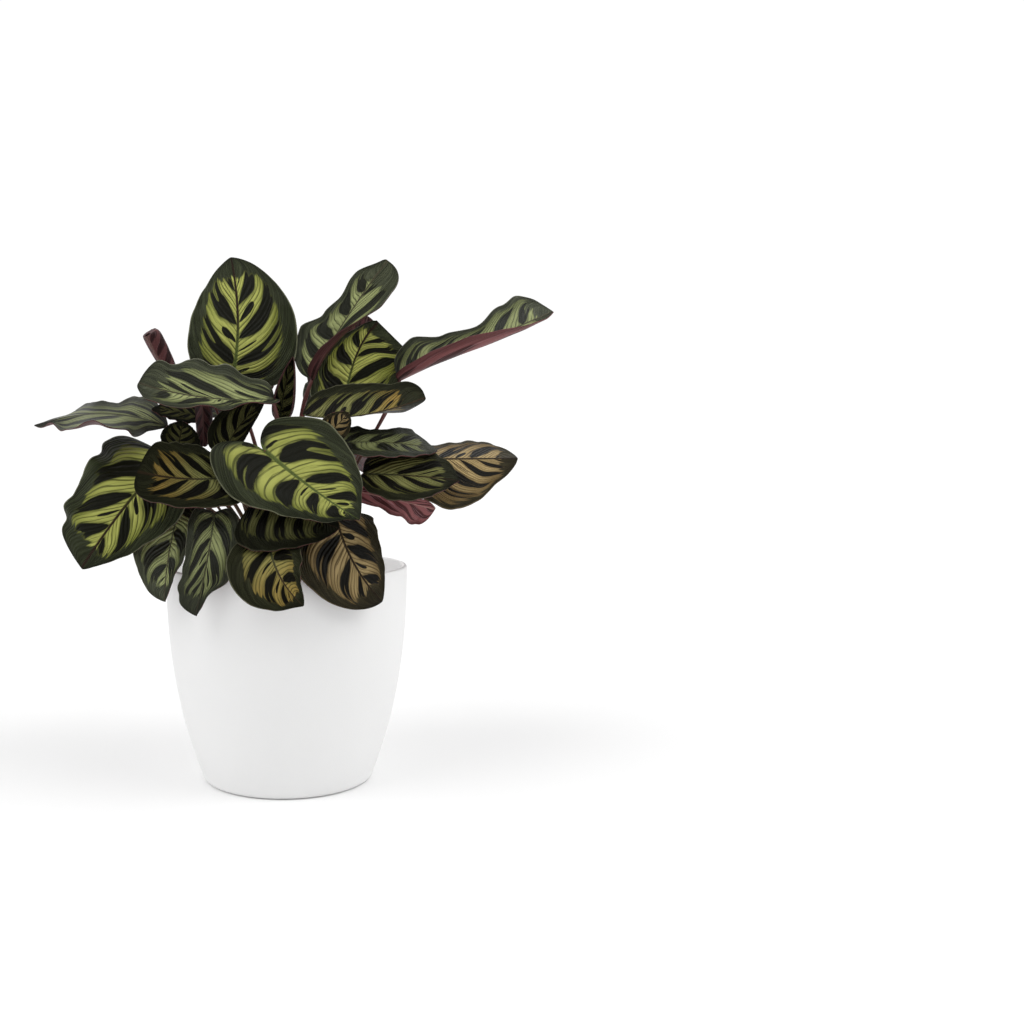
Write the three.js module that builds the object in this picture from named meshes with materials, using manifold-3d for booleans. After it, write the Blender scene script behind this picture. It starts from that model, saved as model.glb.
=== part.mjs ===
// A potted calathea in a tapered decorative pot, in millimetres, with +Z up.
// The origin is the centre of the pot's flat foot, and the plant faces -Y.
// Every leaf is a thin blade bent round its midrib and carried by a long stalk that rises from the soil.

import * as THREE from 'three';
import { mergeVertices } from 'three/addons/utils/BufferGeometryUtils.js';
import Module from 'manifold-3d';

// Decorative pot
const RIM_RADIUS = 70;
const POT_HEIGHT = 125;
const FOOT_TAPER = 21;
const TAPER_POWER = 2.35;
const POT_WALL = 3;
const POT_FLOOR = 4;
const FOOT_ROUNDING = 4;
const RIM_ROUNDING = 0.8;

// Grower's pot inside it, and the soil that fills it
const GAP = 0.3;
const LINER_FOOT_RADIUS = 44;
const LINER_TOP_RADIUS = 60;
const LINER_HEIGHT = 107;
const LINER_WALL = 1.2;
const LINER_LIP = 1.6;
const LINER_LIP_DEPTH = 3;
const DRAIN_HOLES = 8;
const DRAIN_RADIUS = 3.5;
const DRAIN_CIRCLE = 30;
const SOIL_TOP = 106;
const SOIL_CROWN = 2;
const SOIL_CROWN_RADIUS = 58;

// Leaf blades and stalks
const BLADE_THICKNESS = 0.8;
const STALK_RADIUS = 1.2;
const STALK_SIDES = 5;
const STALK_STEPS = 8;
const STALK_LIFT = 0.6;
const STALK_CLEARANCE = 0.45;
const JOIN_DEPTH = 1.5;
const BASE_HALF_WIDTH = 1.1;
const TIP_HALF_WIDTH = 0.6;

// Round surfaces
const POT_SIDES = 48;
const LINER_SIDES = 40;
const DRAIN_SIDES = 10;

const LIME = 0x9cab46;
const GREEN = 0x5f7440;
const GREY_GREEN = 0x77805f;
const BRONZE = 0x8f7650;
const BURGUNDY = 0x6e3a40;
const STALK_BROWN = 0x5c3a34;

const wasm = await Module();
wasm.setup();

const plant = new THREE.Group();

// Closed geometry with shared corners, its positions only
function closed(geometry) {
  geometry.deleteAttribute('normal');
  geometry.deleteAttribute('uv');
  return mergeVertices(geometry, 1e-4);
}

function toSolid(geometry) {
  const vertProperties = new Float32Array(geometry.attributes.position.array);
  const triVerts = new Uint32Array(geometry.index.array);
  return new wasm.Manifold(new wasm.Mesh({ numProp: 3, vertProperties, triVerts }));
}

function toGeometry(solid) {
  const mesh = solid.getMesh();
  const geometry = new THREE.BufferGeometry();
  geometry.setAttribute('position', new THREE.BufferAttribute(mesh.vertProperties, 3));
  geometry.setIndex(new THREE.BufferAttribute(mesh.triVerts, 1));
  return geometry;
}

function addPiece(name, geometry, color, roughness) {
  const material = new THREE.MeshStandardMaterial({ color, roughness, metalness: 0 });
  const piece = new THREE.Mesh(geometry, material);
  piece.name = name;
  plant.add(piece);
}

// A body of revolution about +Z from [radius, height] pairs
function turned(profile, sides) {
  const points = profile.map(([radius, height]) => new THREE.Vector2(radius, height));
  const geometry = closed(new THREE.LatheGeometry(points, sides));
  geometry.rotateX(Math.PI / 2);
  return geometry;
}

// ---- Decorative pot: one moulded cup, widest at the rim and drawn in towards the foot ----

function potRadius(height) {
  return RIM_RADIUS - FOOT_TAPER * (1 - height / POT_HEIGHT) ** TAPER_POWER;
}

// Heights spaced evenly from low to high, ends included
function heights(low, high, count) {
  return Array.from({ length: count + 1 }, (_, i) => low + ((high - low) * i) / count);
}

function potGeometry() {
  const footRadius = potRadius(FOOT_ROUNDING) - FOOT_ROUNDING;
  const profile = [[0, 0]];
  for (let i = 0; i <= 3; i += 1) {
    const angle = (Math.PI / 2) * (i / 3);
    const radius = footRadius + FOOT_ROUNDING * Math.sin(angle);
    profile.push([radius, FOOT_ROUNDING * (1 - Math.cos(angle))]);
  }
  heights(FOOT_ROUNDING, POT_HEIGHT - RIM_ROUNDING, 8)
    .slice(1)
    .forEach((height) => profile.push([potRadius(height), height]));
  profile.push([RIM_RADIUS - RIM_ROUNDING, POT_HEIGHT]);
  profile.push([RIM_RADIUS - POT_WALL + RIM_ROUNDING, POT_HEIGHT]);
  heights(POT_FLOOR + FOOT_ROUNDING, POT_HEIGHT - RIM_ROUNDING, 6)
    .reverse()
    .forEach((height) => profile.push([potRadius(height) - POT_WALL, height]));
  profile.push([potRadius(POT_FLOOR) - POT_WALL - FOOT_ROUNDING / 2, POT_FLOOR]);
  profile.push([0, POT_FLOOR]);
  return turned(profile, POT_SIDES);
}

addPiece('white_pot', potGeometry(), 0xf2f2f0, 0.7);

// ---- Grower's pot: thin-walled, with a rolled lip and drain holes, standing on the pot's floor ----

const LINER_BASE = POT_FLOOR + GAP;
const LINER_RIM = LINER_BASE + LINER_HEIGHT;

function linerRadius(height) {
  const share = (height - LINER_BASE) / LINER_HEIGHT;
  return THREE.MathUtils.lerp(LINER_FOOT_RADIUS, LINER_TOP_RADIUS, share);
}

function linerGeometry() {
  const underLip = LINER_RIM - LINER_LIP_DEPTH;
  const insideFloor = LINER_BASE + LINER_WALL;
  const cup = turned(
    [
      [0, LINER_BASE],
      [LINER_FOOT_RADIUS, LINER_BASE],
      [linerRadius(underLip), underLip],
      [linerRadius(underLip) + LINER_LIP, underLip],
      [LINER_TOP_RADIUS + LINER_LIP, LINER_RIM],
      [LINER_TOP_RADIUS - LINER_WALL, LINER_RIM],
      [linerRadius(insideFloor) - LINER_WALL, insideFloor],
      [0, insideFloor],
    ],
    LINER_SIDES,
  );
  let pot = toSolid(cup);
  for (let i = 0; i < DRAIN_HOLES; i += 1) {
    const angle = (2 * Math.PI * i) / DRAIN_HOLES;
    const drill = new THREE.CylinderGeometry(DRAIN_RADIUS, DRAIN_RADIUS, POT_FLOOR, DRAIN_SIDES);
    drill.rotateX(Math.PI / 2);
    drill.translate(DRAIN_CIRCLE * Math.cos(angle), DRAIN_CIRCLE * Math.sin(angle), LINER_BASE);
    pot = pot.subtract(toSolid(closed(drill)));
  }
  return toGeometry(pot);
}

addPiece('grower_pot', linerGeometry(), 0x1c1c1c, 0.6);

// ---- Soil: fills the grower's pot and rises a little towards the plant ----

function soilHeight(radius) {
  return SOIL_TOP - SOIL_CROWN * (radius / SOIL_CROWN_RADIUS) ** 2;
}

function soilGeometry() {
  const bottom = LINER_BASE + LINER_WALL + GAP;
  const inset = LINER_WALL + GAP;
  const topRadius = linerRadius(SOIL_TOP - SOIL_CROWN) - inset;
  const profile = [[0, bottom], [linerRadius(bottom) - inset, bottom]];
  for (let i = 4; i >= 0; i -= 1) {
    const radius = (topRadius * i) / 4;
    profile.push([radius, soilHeight(radius)]);
  }
  return turned(profile, LINER_SIDES);
}

addPiece('potting_soil', soilGeometry(), 0x33261d, 1);

// ---- Leaves ----
// spine: points along the midrib from base to tip. faces: which way the top face looks, base to tip.
// Pairs give the blade's left half first, as seen on the top face with the tip up:
// half: greatest width of each half. lobe: how far each half reaches back past the base.
// fold: tilt of each half at the midrib, in degrees, and curl: the extra tilt at its edge, base to tip.
// edge: each half's width along the leaf as a share of the plain outline. wave: the ripple's heights
// left and right, its number of waves and its start. outline: how quickly the blade widens and narrows.
// foot: where the stalk leaves the soil. bend: the two points that steer the stalk between its ends.

const PLAIN_LEAF = {
  lobe: [6, 6],
  lobeShape: [1.3, 4],
  outline: [0.4, 0.68],
  fold: [[0], [0]],
  curl: [[0], [0]],
  edge: [[1, 1], [1, 1]],
  wave: [0, 0, 2, 0],
  cells: [6, 9],
  bend: null,
  joined: false,
};

const LEAVES = [
  {
    name: 'upper_left',
    spine: [[-31, 8, 236], [-28, 6, 268], [-32, 14, 304]],
    faces: [[0, -1, 0.15], [0, -1, -0.1]],
    half: [29, 35],
    lobe: [6, 8],
    outline: [0.4, 0.72],
    curl: [[-10, -25], [-5, -15]],
    edge: [[1.2, 1.03, 1, 1.03, 1.07, 1.2], [1, 1, 1, 1.03, 1.05, 1.2]],
    foot: [-8, 4],
    bend: [[-12, 6, 150], [-38, 8, 190]],
    colour: LIME,
  },
  {
    name: 'shelf_left',
    spine: [[-7, -14, 221], [-45, -26, 221], [-82, -22, 229]],
    faces: [[0, -0.75, 0.65], [-0.1, -0.7, 0.7]],
    half: [22, 27],
    lobe: [7, 7],
    outline: [0.45, 0.4],
    fold: [[30, -8], [8, 17]],
    curl: [[10, 0], [0, 10]],
    wave: [2.5, 2.4, 3.4, 0.1],
    edge: [[0.75, 0.5, 0.4, 0.5, 0.45, 0.65, 0.4], [0.85, 0.8, 0.83, 0.88, 0.82, 0.8, 1.05]],
    foot: [1, -6],
    bend: [[2, -8, 150], [-2, -10, 195]],
    colour: GREY_GREEN,
  },
  {
    name: 'rolled_left',
    spine: [[-62, 24, 223], [-73.5, 26, 241.5], [-82.5, 22, 258.5]],
    faces: [[0.3, 0.9, 0.3]],
    half: [20, 20],
    lobe: [0, 0],
    outline: [0.55, 0.1],
    fold: [[20], [20]],
    curl: [[150], [150]],
    foot: [-9, 9],
    bend: [[-14, 12, 165], [-44, 20, 200]],
    joined: true,
    colour: BURGUNDY,
  },
  {
    name: 'far_left',
    spine: [[-68, -2, 205], [-103, -8, 212.4], [-144, 2, 206]],
    faces: [[0, -0.5, 0.85]],
    half: [20, 22],
    lobe: [0, 0],
    outline: [0.7, 0.7],
    fold: [[-95, 2, -90], [27, 0, -28]],
    curl: [[-10, 40, 60], [0, 10]],
    wave: [4, 1.5, 2, 0.1],
    edge: [[0.4, 0.3, 1.04, 1.99, 1.78, 1.19, 0.61, 0.57], [1.14, 1.12, 1.01, 0.54, 0.54, 0.94, 1.1, 1.27]],
    foot: [-14, 0],
    colour: GREY_GREEN,
  },
  {
    name: 'lower_left',
    spine: [[-63.9, -23, 189], [-86.9, -43, 162.1], [-110.8, -41, 128.1]],
    faces: [[-0.35, -0.85, 0.4], [-0.35, -0.9, 0.2]],
    half: [25, 38],
    lobe: [4, 15],
    curl: [[-15], [-15]],
    edge: [[1, 1.1, 1.15, 1.15, 1.04, 0.9, 0.65], [1.65, 1.42, 1.05, 1.07, 1.06, 1.42, 2.5]],
    wave: [1, 2.5, 3, 0.1],
    foot: [-14, -6],
    colour: LIME,
  },
  {
    name: 'bronze_left',
    spine: [[-26, -33, 178], [-51.9, -51, 177], [-78.9, -55, 181]],
    faces: [[-0.1, -0.75, 0.65], [-0.3, -0.75, 0.6]],
    half: [24, 23],
    outline: [0.45, 0.4],
    edge: [[1.1, 1, 0.85, 0.8, 1], [1.5, 1.4, 1.15, 1.1, 1.5]],
    foot: [-9, -12],
    colour: BRONZE,
  },
  {
    name: 'centre',
    spine: [[-12, -44, 192], [14.9, -68, 171.1], [36.9, -86, 157.2]],
    faces: [[-0.16, -0.75, 0.64]],
    half: [33, 32],
    lobe: [12, 19],
    lobeShape: [0.5, 6],
    outline: [0.3, 0.85],
    curl: [[-10], [-10, -20]],
    edge: [[0.95, 1.2, 1.11, 1.06, 1.02, 1.03, 0.93, 0.9], [0.96, 1, 0.92, 0.75, 0.63, 0.7, 0.35, 0.35]],
    wave: [0.8, 1.6, 3, 0.2],
    foot: [0, -13],
    colour: LIME,
  },
  {
    name: 'drooping_left',
    spine: [[-57, -34, 166], [-63, -46, 140], [-66, -50, 111]],
    faces: [[-0.3, -0.95, 0.1], [-0.3, -0.95, 0]],
    half: [16, 18],
    lobe: [5, 5],
    edge: [[1.1, 0.97, 0.82, 0.61, 0.4, 0.35], [0.8, 0.97, 1.14, 1.28, 1.3, 1.65]],
    foot: [-16, -11],
    colour: GREY_GREEN,
  },
  {
    name: 'drooping_middle_left',
    spine: [[-39, -48, 159], [-42, -64, 135], [-48, -68, 106]],
    faces: [[-0.1, -0.95, 0.3], [-0.1, -1, 0]],
    half: [17, 20],
    lobe: [6, 7],
    edge: [[0.88, 0.89, 0.9, 0.9, 0.91, 0.37, 0.33], [0.85, 0.74, 0.65, 0.62, 0.71, 1.04, 1.73]],
    foot: [-6, -16],
    colour: GREY_GREEN,
  },
  {
    name: 'drooping_front',
    spine: [[-10, -63, 146], [-4, -85, 129], [8, -90, 114]],
    faces: [[-0.05, -0.85, 0.5], [0, -1, 0.1]],
    half: [15, 25],
    lobe: [3, 5],
    edge: [[1.12, 1.07, 0.96, 0.75, 0.64, 0.65], [1, 1, 0.99, 0.96, 0.82, 0.4]],
    foot: [-2, -21],
    colour: GREEN,
  },
  {
    name: 'drooping_right',
    spine: [[26.1, -44, 158.9], [34.1, -64, 134.8], [50.2, -64, 111.7]],
    faces: [[0.25, -0.9, 0.3], [0.25, -0.95, 0.1]],
    half: [20, 29],
    lobe: [3, 4],
    edge: [[1.7, 1.12, 0.95, 0.91, 0.96, 0.87], [1, 1.05, 1.1, 1.04, 1.03, 1.04]],
    foot: [9, -17],
    colour: BRONZE,
  },
  {
    name: 'shaded_front',
    spine: [[-20, -52, 163.2], [2, -62, 160.2], [27, -68, 151.2]],
    faces: [[0, -0.8, 0.6]],
    half: [18, 24],
    lobe: [3, 5],
    edge: [[1, 1], [1.25, 1.2, 1.1, 1.1]],
    foot: [4, -19],
    joined: true,
    colour: GREEN,
  },
  {
    name: 'middle_right',
    spine: [[42, -34, 179], [68, -40, 178], [95, -40, 175]],
    faces: [[0.1, -0.7, 0.7]],
    half: [22, 22],
    lobe: [3, 3],
    edge: [[1, 0.9, 0.85, 0.95, 1.3, 1.8], [0.5, 0.78, 0.9, 0.89, 0.77, 0.4]],
    foot: [12, -12],
    colour: GREEN,
  },
  {
    name: 'bronze_far_right',
    spine: [[72, -12, 187], [102, -18, 187], [132, -20, 187]],
    faces: [[0, -0.85, 0.5]],
    half: [26, 29],
    lobe: [3, 3],
    fold: [[-35], [0]],
    edge: [[0.75, 0.73, 0.82, 1.02, 1.15, 1.3], [0.94, 1.03, 1.14, 1.08, 0.85, 0.8]],
    foot: [16, -4],
    colour: BRONZE,
  },
  {
    name: 'grey_right',
    spine: [[29, -20, 196], [58, -26, 196], [85, -24, 192]],
    faces: [[0, -0.35, 0.93]],
    half: [24, 22],
    lobe: [3, 3],
    edge: [[1.1, 0.73, 0.5, 0.62, 0.99, 1.4, 1.5], [1, 1]],
    fold: [[11, 12, -6], [0]],
    foot: [9, -7],
    colour: GREY_GREEN,
  },
  {
    name: 'turned_right',
    spine: [[36.1, -10, 169.8], [62.8, -14, 163.6], [85.3, -14, 158]],
    faces: [[0, 0.8, 0.6]],
    half: [15, 8],
    lobe: [3, 3],
    edge: [[0.75, 0.7, 0.69, 0.8, 1.78, 2.69], [1, 1]],
    wave: [2, 2, 2, 0.3],
    foot: [17, -9],
    joined: true,
    colour: BURGUNDY,
  },
  {
    name: 'folded_upper_right',
    spine: [[15, 3, 233], [33, 5, 265.1], [59.1, 5, 302.2]],
    faces: [[-0.3, -0.95, 0.1]],
    half: [20, 20],
    lobe: [2, 2],
    outline: [0.4, 0.4],
    fold: [[0], [60, 30, 0]],
    curl: [[-10], [90, 60, 10]],
    edge: [[1, 1.14, 1.15, 0.69, 0.56, 0.74, 0.35], [0.96, 1.02, 1.09, 1.18, 1.24, 1.15, 1.3]],
    foot: [3, 4],
    bend: [[5, 4, 160], [2, 3, 205]],
    colour: GREY_GREEN,
  },
  {
    name: 'upper_right',
    spine: [[34, 6, 218], [41, 12, 247], [54, 15, 268]],
    faces: [[0, -1, 0.2]],
    half: [24, 30],
    lobe: [3, 3],
    outline: [0.4, 0.75],
    edge: [[1.3, 0.96, 0.8, 0.65, 0.5, 0.5], [1, 1, 1, 1.2, 2.1, 5]],
    foot: [10, 1],
    bend: [[18, 10, 160], [32, 12, 195]],
    colour: LIME,
  },
  {
    name: 'long_far_right',
    spine: [[66, 4, 233], [97, -4, 247], [131, -8, 261.6], [155, -6, 272]],
    faces: [[0, -0.9, 0.4]],
    half: [20, 20],
    lobe: [3, 3],
    fold: [[-8, -4, -19], [46, 34, 18]],
    curl: [[0], [110, 90, 40]],
    edge: [[1.25, 1.2, 0.72, 0.57, 1.08, 1.72, 2.1], [0.7, 0.81, 1, 1.22, 1.03, 0.77, 0.4]],
    foot: [15, 3],
    bend: [[20, 6, 165], [53, 2, 195]],
    colour: GREY_GREEN,
  },
  {
    name: 'shelf_right',
    spine: [[8.9, -18, 211.9], [38.7, -24, 210.9], [78.5, -22, 221.4]],
    faces: [[0, -0.8, 0.6]],
    half: [22, 20],
    lobe: [3, 3],
    outline: [0.45, 0.38],
    fold: [[13, 13, 45], [-122, -129, -87]],
    curl: [[0], [-20]],
    edge: [[1.2, 1.05, 0.99, 0.87, 0.74, 0.9], [1.05, 1.24, 1.4, 1.46, 1.25, 0.52]],
    foot: [6, -4],
    bend: [[6, -4, 160], [2, -10, 196]],
    colour: GREEN,
  },
  {
    name: 'young_bronze',
    spine: [[20, -30, 199], [28, -33, 206], [34, -33, 213]],
    faces: [[0.2, -0.9, 0.2]],
    half: [8, 8],
    lobe: [0, 0],
    cells: [4, 6],
    foot: [7, -12],
    joined: true,
    colour: BRONZE,
  },
  {
    name: 'bud_centre',
    spine: [[-4, -2, 210], [-1, -4, 227], [4, -6, 245.2]],
    faces: [[0, -1, 0]],
    half: [11, 15],
    lobe: [0, 0],
    outline: [0.3, 0.8],
    curl: [[120], [120]],
    cells: [6, 6],
    foot: [-2, -1],
    joined: true,
    colour: BURGUNDY,
  },
  {
    name: 'curled_left',
    spine: [[-49.3, -4, 226.2], [-47.3, -10, 210.1], [-47.3, -13, 194]],
    faces: [[0, 1, 0.3]],
    half: [10, 10],
    lobe: [0, 0],
    outline: [0.2, 0.35],
    curl: [[120], [120]],
    cells: [6, 8],
    foot: [-13, 5],
    bend: [[-20, 5, 175], [-54, 2, 252]],
    joined: true,
    colour: BURGUNDY,
  },
  {
    name: 'young_left',
    spine: [[-62, -10, 191], [-60, -13, 200], [-58, -15, 208]],
    faces: [[0, -1, 0.3]],
    half: [11, 12],
    lobe: [0, 0],
    cells: [4, 6],
    foot: [-18, -5],
    bend: [[-23, -5, 150], [-56, -5, 175]],
    joined: true,
    colour: GREEN,
  },
  {
    name: 'shaded_centre',
    spine: [[-34, -20, 190.5], [-27.5, -14, 204.5], [-12.6, -2, 220.4]],
    faces: [[0.2, -0.9, 0.1]],
    half: [14, 7],
    lobe: [2, 2],
    cells: [6, 8],
    foot: [-4, -6],
    joined: true,
    colour: GREEN,
  },
  {
    name: 'young_upper_left',
    spine: [[-50, 2, 211], [-63, -1, 214], [-77, -3, 215]],
    faces: [[0, -0.7, 0.7]],
    half: [8, 8],
    lobe: [0, 0],
    cells: [4, 6],
    foot: [-14, 9],
    bend: [[-20, 13, 155], [-40, 14, 203]],
    joined: true,
    colour: GREEN,
  },
  {
    name: 'back_upper_left',
    spine: [[-28, 32, 222], [-34, 52, 256], [-38, 62, 290]],
    faces: [[-0.1, 0.9, 0.35]],
    half: [26, 26],
    foot: [-4, 12],
    colour: GREEN,
  },
  {
    name: 'back_upper_right',
    spine: [[30, 34, 220], [42, 56, 248], [52, 66, 276]],
    faces: [[0.1, 0.9, 0.35]],
    half: [26, 26],
    foot: [6, 11],
    colour: GREEN,
  },
  {
    name: 'back_lower_left',
    spine: [[-50, 35, 185], [-80, 58, 172], [-104, 72, 142]],
    faces: [[-0.5, 0.6, 0.6]],
    half: [30, 30],
    foot: [-15, 14],
    colour: LIME,
  },
  {
    name: 'back_lower_right',
    spine: [[45, 38, 190], [75, 60, 182], [102, 72, 165]],
    faces: [[0.4, 0.6, 0.7]],
    half: [30, 30],
    foot: [15, 10],
    colour: LIME,
  },
  {
    name: 'back_low',
    spine: [[0, 48, 170], [4, 78, 160], [6, 98, 128]],
    faces: [[0, 0.7, 0.7]],
    half: [32, 32],
    foot: [1, 20],
    colour: LIME,
  },
  {
    name: 'back_left',
    spine: [[-34, 38, 214], [-46, 72, 228], [-54, 104, 226]],
    faces: [[-0.1, -0.3, 0.9], [-0.1, 0.2, 0.95]],
    half: [24, 24],
    foot: [-8, 17],
    colour: GREEN,
  },
  {
    name: 'back_right',
    spine: [[28.1, 41, 215.1], [38.2, 73, 234.1], [44.2, 103, 238.1]],
    faces: [[0.1, -0.3, 0.9], [0.1, 0.2, 0.95]],
    half: [24, 24],
    foot: [9, 16],
    colour: GREEN,
  },
];

// Value at u, from 0 to 1, of the smooth curve through evenly spaced values
function through(values, u) {
  const last = values.length - 1;
  let total = 0;
  values.forEach((value, i) => {
    let weight = 1;
    for (let j = 0; j <= last; j += 1) {
      weight *= j === i ? 1 : (u * last - j) / (i - j);
    }
    total += weight * value;
  });
  return total;
}

function throughPoints(points, u) {
  const along = (axis) => through(points.map((point) => point[axis]), u);
  return new THREE.Vector3(along(0), along(1), along(2));
}

function directionAt(spine, u) {
  const step = 1e-4;
  return throughPoints(spine, u + step).sub(throughPoints(spine, u - step)).normalize();
}

function faceAt(leaf, u, direction) {
  const units = leaf.faces.map((face) => new THREE.Vector3(...face).normalize().toArray());
  const face = throughPoints(units, u);
  return face.addScaledVector(direction, -face.dot(direction)).normalize();
}

// Share of the full width at u: 0 at base and tip, 1 at the widest place
function outlineShare([widening, narrowing], u) {
  const widest = widening / (widening + narrowing);
  const full = widest ** widening * (1 - widest) ** narrowing;
  return (u ** widening * (1 - u) ** narrowing) / full;
}

function edgeShare(values, u) {
  const place = u * (values.length - 1);
  const index = Math.min(Math.floor(place), values.length - 2);
  const blend = THREE.MathUtils.smoothstep(place - index, 0, 1);
  return THREE.MathUtils.lerp(values[index], values[index + 1], blend);
}

// Point on the middle of the blade: u runs from base to tip, v from the left edge at -1 to the right at 1
function bladePoint(leaf, u, v) {
  const side = v < 0 ? 0 : 1;
  const reach = Math.abs(v);
  const direction = directionAt(leaf.spine, u);
  const face = faceAt(leaf, u, direction);
  const right = direction.clone().cross(face);
  const share = outlineShare(leaf.outline, u);
  const leastWidth = THREE.MathUtils.lerp(BASE_HALF_WIDTH, TIP_HALF_WIDTH, u);
  const width = Math.max(leaf.half[side] * share * edgeShare(leaf.edge[side], u), leastWidth);
  const tilt = THREE.MathUtils.degToRad(through(leaf.fold[side], u));
  const curl = THREE.MathUtils.degToRad(through(leaf.curl[side], u)) || 1e-3;
  const lateral = ((Math.sin(tilt + curl * reach) - Math.sin(tilt)) / curl) * width;
  const lift = ((Math.cos(tilt) - Math.cos(tilt + curl * reach)) / curl) * width;
  const [power, fade] = leaf.lobeShape;
  const back = 2 * leaf.lobe[side] * (share * reach) ** power * (1 - u) ** fade;
  const [, , waves, start] = leaf.wave;
  const offset = side === 0 ? 0.37 : 0;
  const ripple = Math.sin(2 * Math.PI * (waves * u + start + offset));
  const calm = Math.min(1, 6 * u) * Math.min(1, 6 * (1 - u));
  const height = lift + leaf.wave[side] * reach ** 2 * ripple * calm;
  return throughPoints(leaf.spine, u)
    .addScaledVector(right, Math.sign(v) * lateral)
    .addScaledVector(face, height)
    .addScaledVector(direction, -back);
}

// A thin slab of cells wrapped onto the blade, closer together towards base and tip
function bladeGeometry(leaf) {
  const [across, along] = leaf.cells;
  const pointAt = (t, v) => {
    const u = (1 - Math.cos(Math.PI * THREE.MathUtils.clamp(t, 0, 1))) / 2;
    return bladePoint(leaf, u, THREE.MathUtils.clamp(v, -1, 1));
  };
  const slab = new THREE.BoxGeometry(2, 1, 1, across, along, 1);
  const corners = slab.attributes.position;
  for (let k = 0; k < corners.count; k += 1) {
    const v = corners.getX(k);
    const t = corners.getY(k) + 0.5;
    const sideways = pointAt(t, v + 2 / across).sub(pointAt(t, v - 2 / across));
    const lengthways = pointAt(t + 1 / along, v).sub(pointAt(t - 1 / along, v));
    const normal = sideways.cross(lengthways).normalize();
    const corner = pointAt(t, v).addScaledVector(normal, corners.getZ(k) * BLADE_THICKNESS);
    corners.setXYZ(k, corner.x, corner.y, corner.z);
  }
  return closed(slab);
}

// The stalk's end lies just under the blade's base, or in it where the two are one piece
function stalkPath(leaf) {
  const [footX, footY] = leaf.foot;
  const foot = new THREE.Vector3(footX, footY, soilHeight(Math.hypot(footX, footY)) + STALK_LIFT);
  const base = new THREE.Vector3(...leaf.spine[0]);
  const direction = directionAt(leaf.spine, 0);
  const face = faceAt(leaf, 0, direction);
  const length = foot.distanceTo(base);
  const low = foot.clone();
  low.z += 0.45 * length;
  const high = base.clone().addScaledVector(direction, -0.18 * length).addScaledVector(face, -0.2 * length);
  if (leaf.bend) {
    low.set(...leaf.bend[0]);
    high.set(...leaf.bend[1]);
  }
  const end = base.clone();
  if (leaf.joined) {
    end.addScaledVector(direction, JOIN_DEPTH);
  } else {
    const arrival = base.clone().sub(high).normalize();
    const slant = Math.sqrt(1 - Math.min(1, arrival.dot(face) ** 2));
    end.addScaledVector(face, -(BLADE_THICKNESS / 2 + STALK_CLEARANCE + STALK_RADIUS * slant));
  }
  return new THREE.CubicBezierCurve3(foot, low, high, end);
}

function stalkGeometry(leaf) {
  const corners = Array.from({ length: STALK_SIDES }, (_, i) => {
    const angle = (2 * Math.PI * i) / STALK_SIDES;
    return new THREE.Vector2(STALK_RADIUS * Math.cos(angle), STALK_RADIUS * Math.sin(angle));
  });
  const section = new THREE.Shape(corners);
  const stalk = new THREE.ExtrudeGeometry(section, { steps: STALK_STEPS, extrudePath: stalkPath(leaf) });
  return closed(stalk);
}

LEAVES.forEach((special) => {
  const leaf = { ...PLAIN_LEAF, ...special };
  const blade = bladeGeometry(leaf);
  const stalk = stalkGeometry(leaf);
  if (leaf.joined) {
    addPiece(`leaf_${leaf.name}`, toGeometry(toSolid(blade).add(toSolid(stalk))), leaf.colour, 0.45);
  } else {
    addPiece(`leaf_${leaf.name}`, blade, leaf.colour, 0.45);
    addPiece(`stem_${leaf.name}`, stalk, STALK_BROWN, 0.55);
  }
});

export default plant;
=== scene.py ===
"""A potted calathea: feather-patterned leaves on long stalks, in soil, in a tapered white decorative pot."""

import math

import bpy
import numpy as np
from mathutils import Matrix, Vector, noise


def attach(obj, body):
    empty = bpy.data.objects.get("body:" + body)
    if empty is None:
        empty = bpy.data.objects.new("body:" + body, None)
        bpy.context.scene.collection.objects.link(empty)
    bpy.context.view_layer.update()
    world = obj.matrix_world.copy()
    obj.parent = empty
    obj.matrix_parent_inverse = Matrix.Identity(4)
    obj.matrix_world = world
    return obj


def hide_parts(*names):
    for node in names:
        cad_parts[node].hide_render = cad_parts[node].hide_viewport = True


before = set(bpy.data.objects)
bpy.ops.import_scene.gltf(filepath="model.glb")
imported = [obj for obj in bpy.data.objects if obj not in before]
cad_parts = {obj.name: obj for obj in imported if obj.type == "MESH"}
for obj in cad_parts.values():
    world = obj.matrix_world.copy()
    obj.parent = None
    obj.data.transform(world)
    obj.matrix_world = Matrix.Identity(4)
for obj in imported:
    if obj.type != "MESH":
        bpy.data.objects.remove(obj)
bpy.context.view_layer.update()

# ---- The studio: a white floor without a horizon, a pale surround and a soft light from either side. ----
# The camera stands a little above the leaves' middle and looks slightly down, with the plant left of its centre.

CAMERA_PLACE = (0, -0.66, 0.201)
CAMERA_PITCH = 3.95
CAMERA_YAW = 4.5
CAMERA_LENS = 39.7
CAMERA_SHIFT = 0.133
MM = 0.001

bpy.ops.object.select_all(action="DESELECT")
bpy.ops.object.camera_add(
    location=CAMERA_PLACE,
    rotation=(math.radians(90 - CAMERA_PITCH), 0, math.radians(-CAMERA_YAW)),
)
camera = bpy.context.object
camera.data.lens = CAMERA_LENS
camera.data.sensor_width = 36
camera.data.shift_x = CAMERA_SHIFT
scene = bpy.context.scene
scene.camera = camera
scene.view_settings.view_transform = "Standard"

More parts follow.
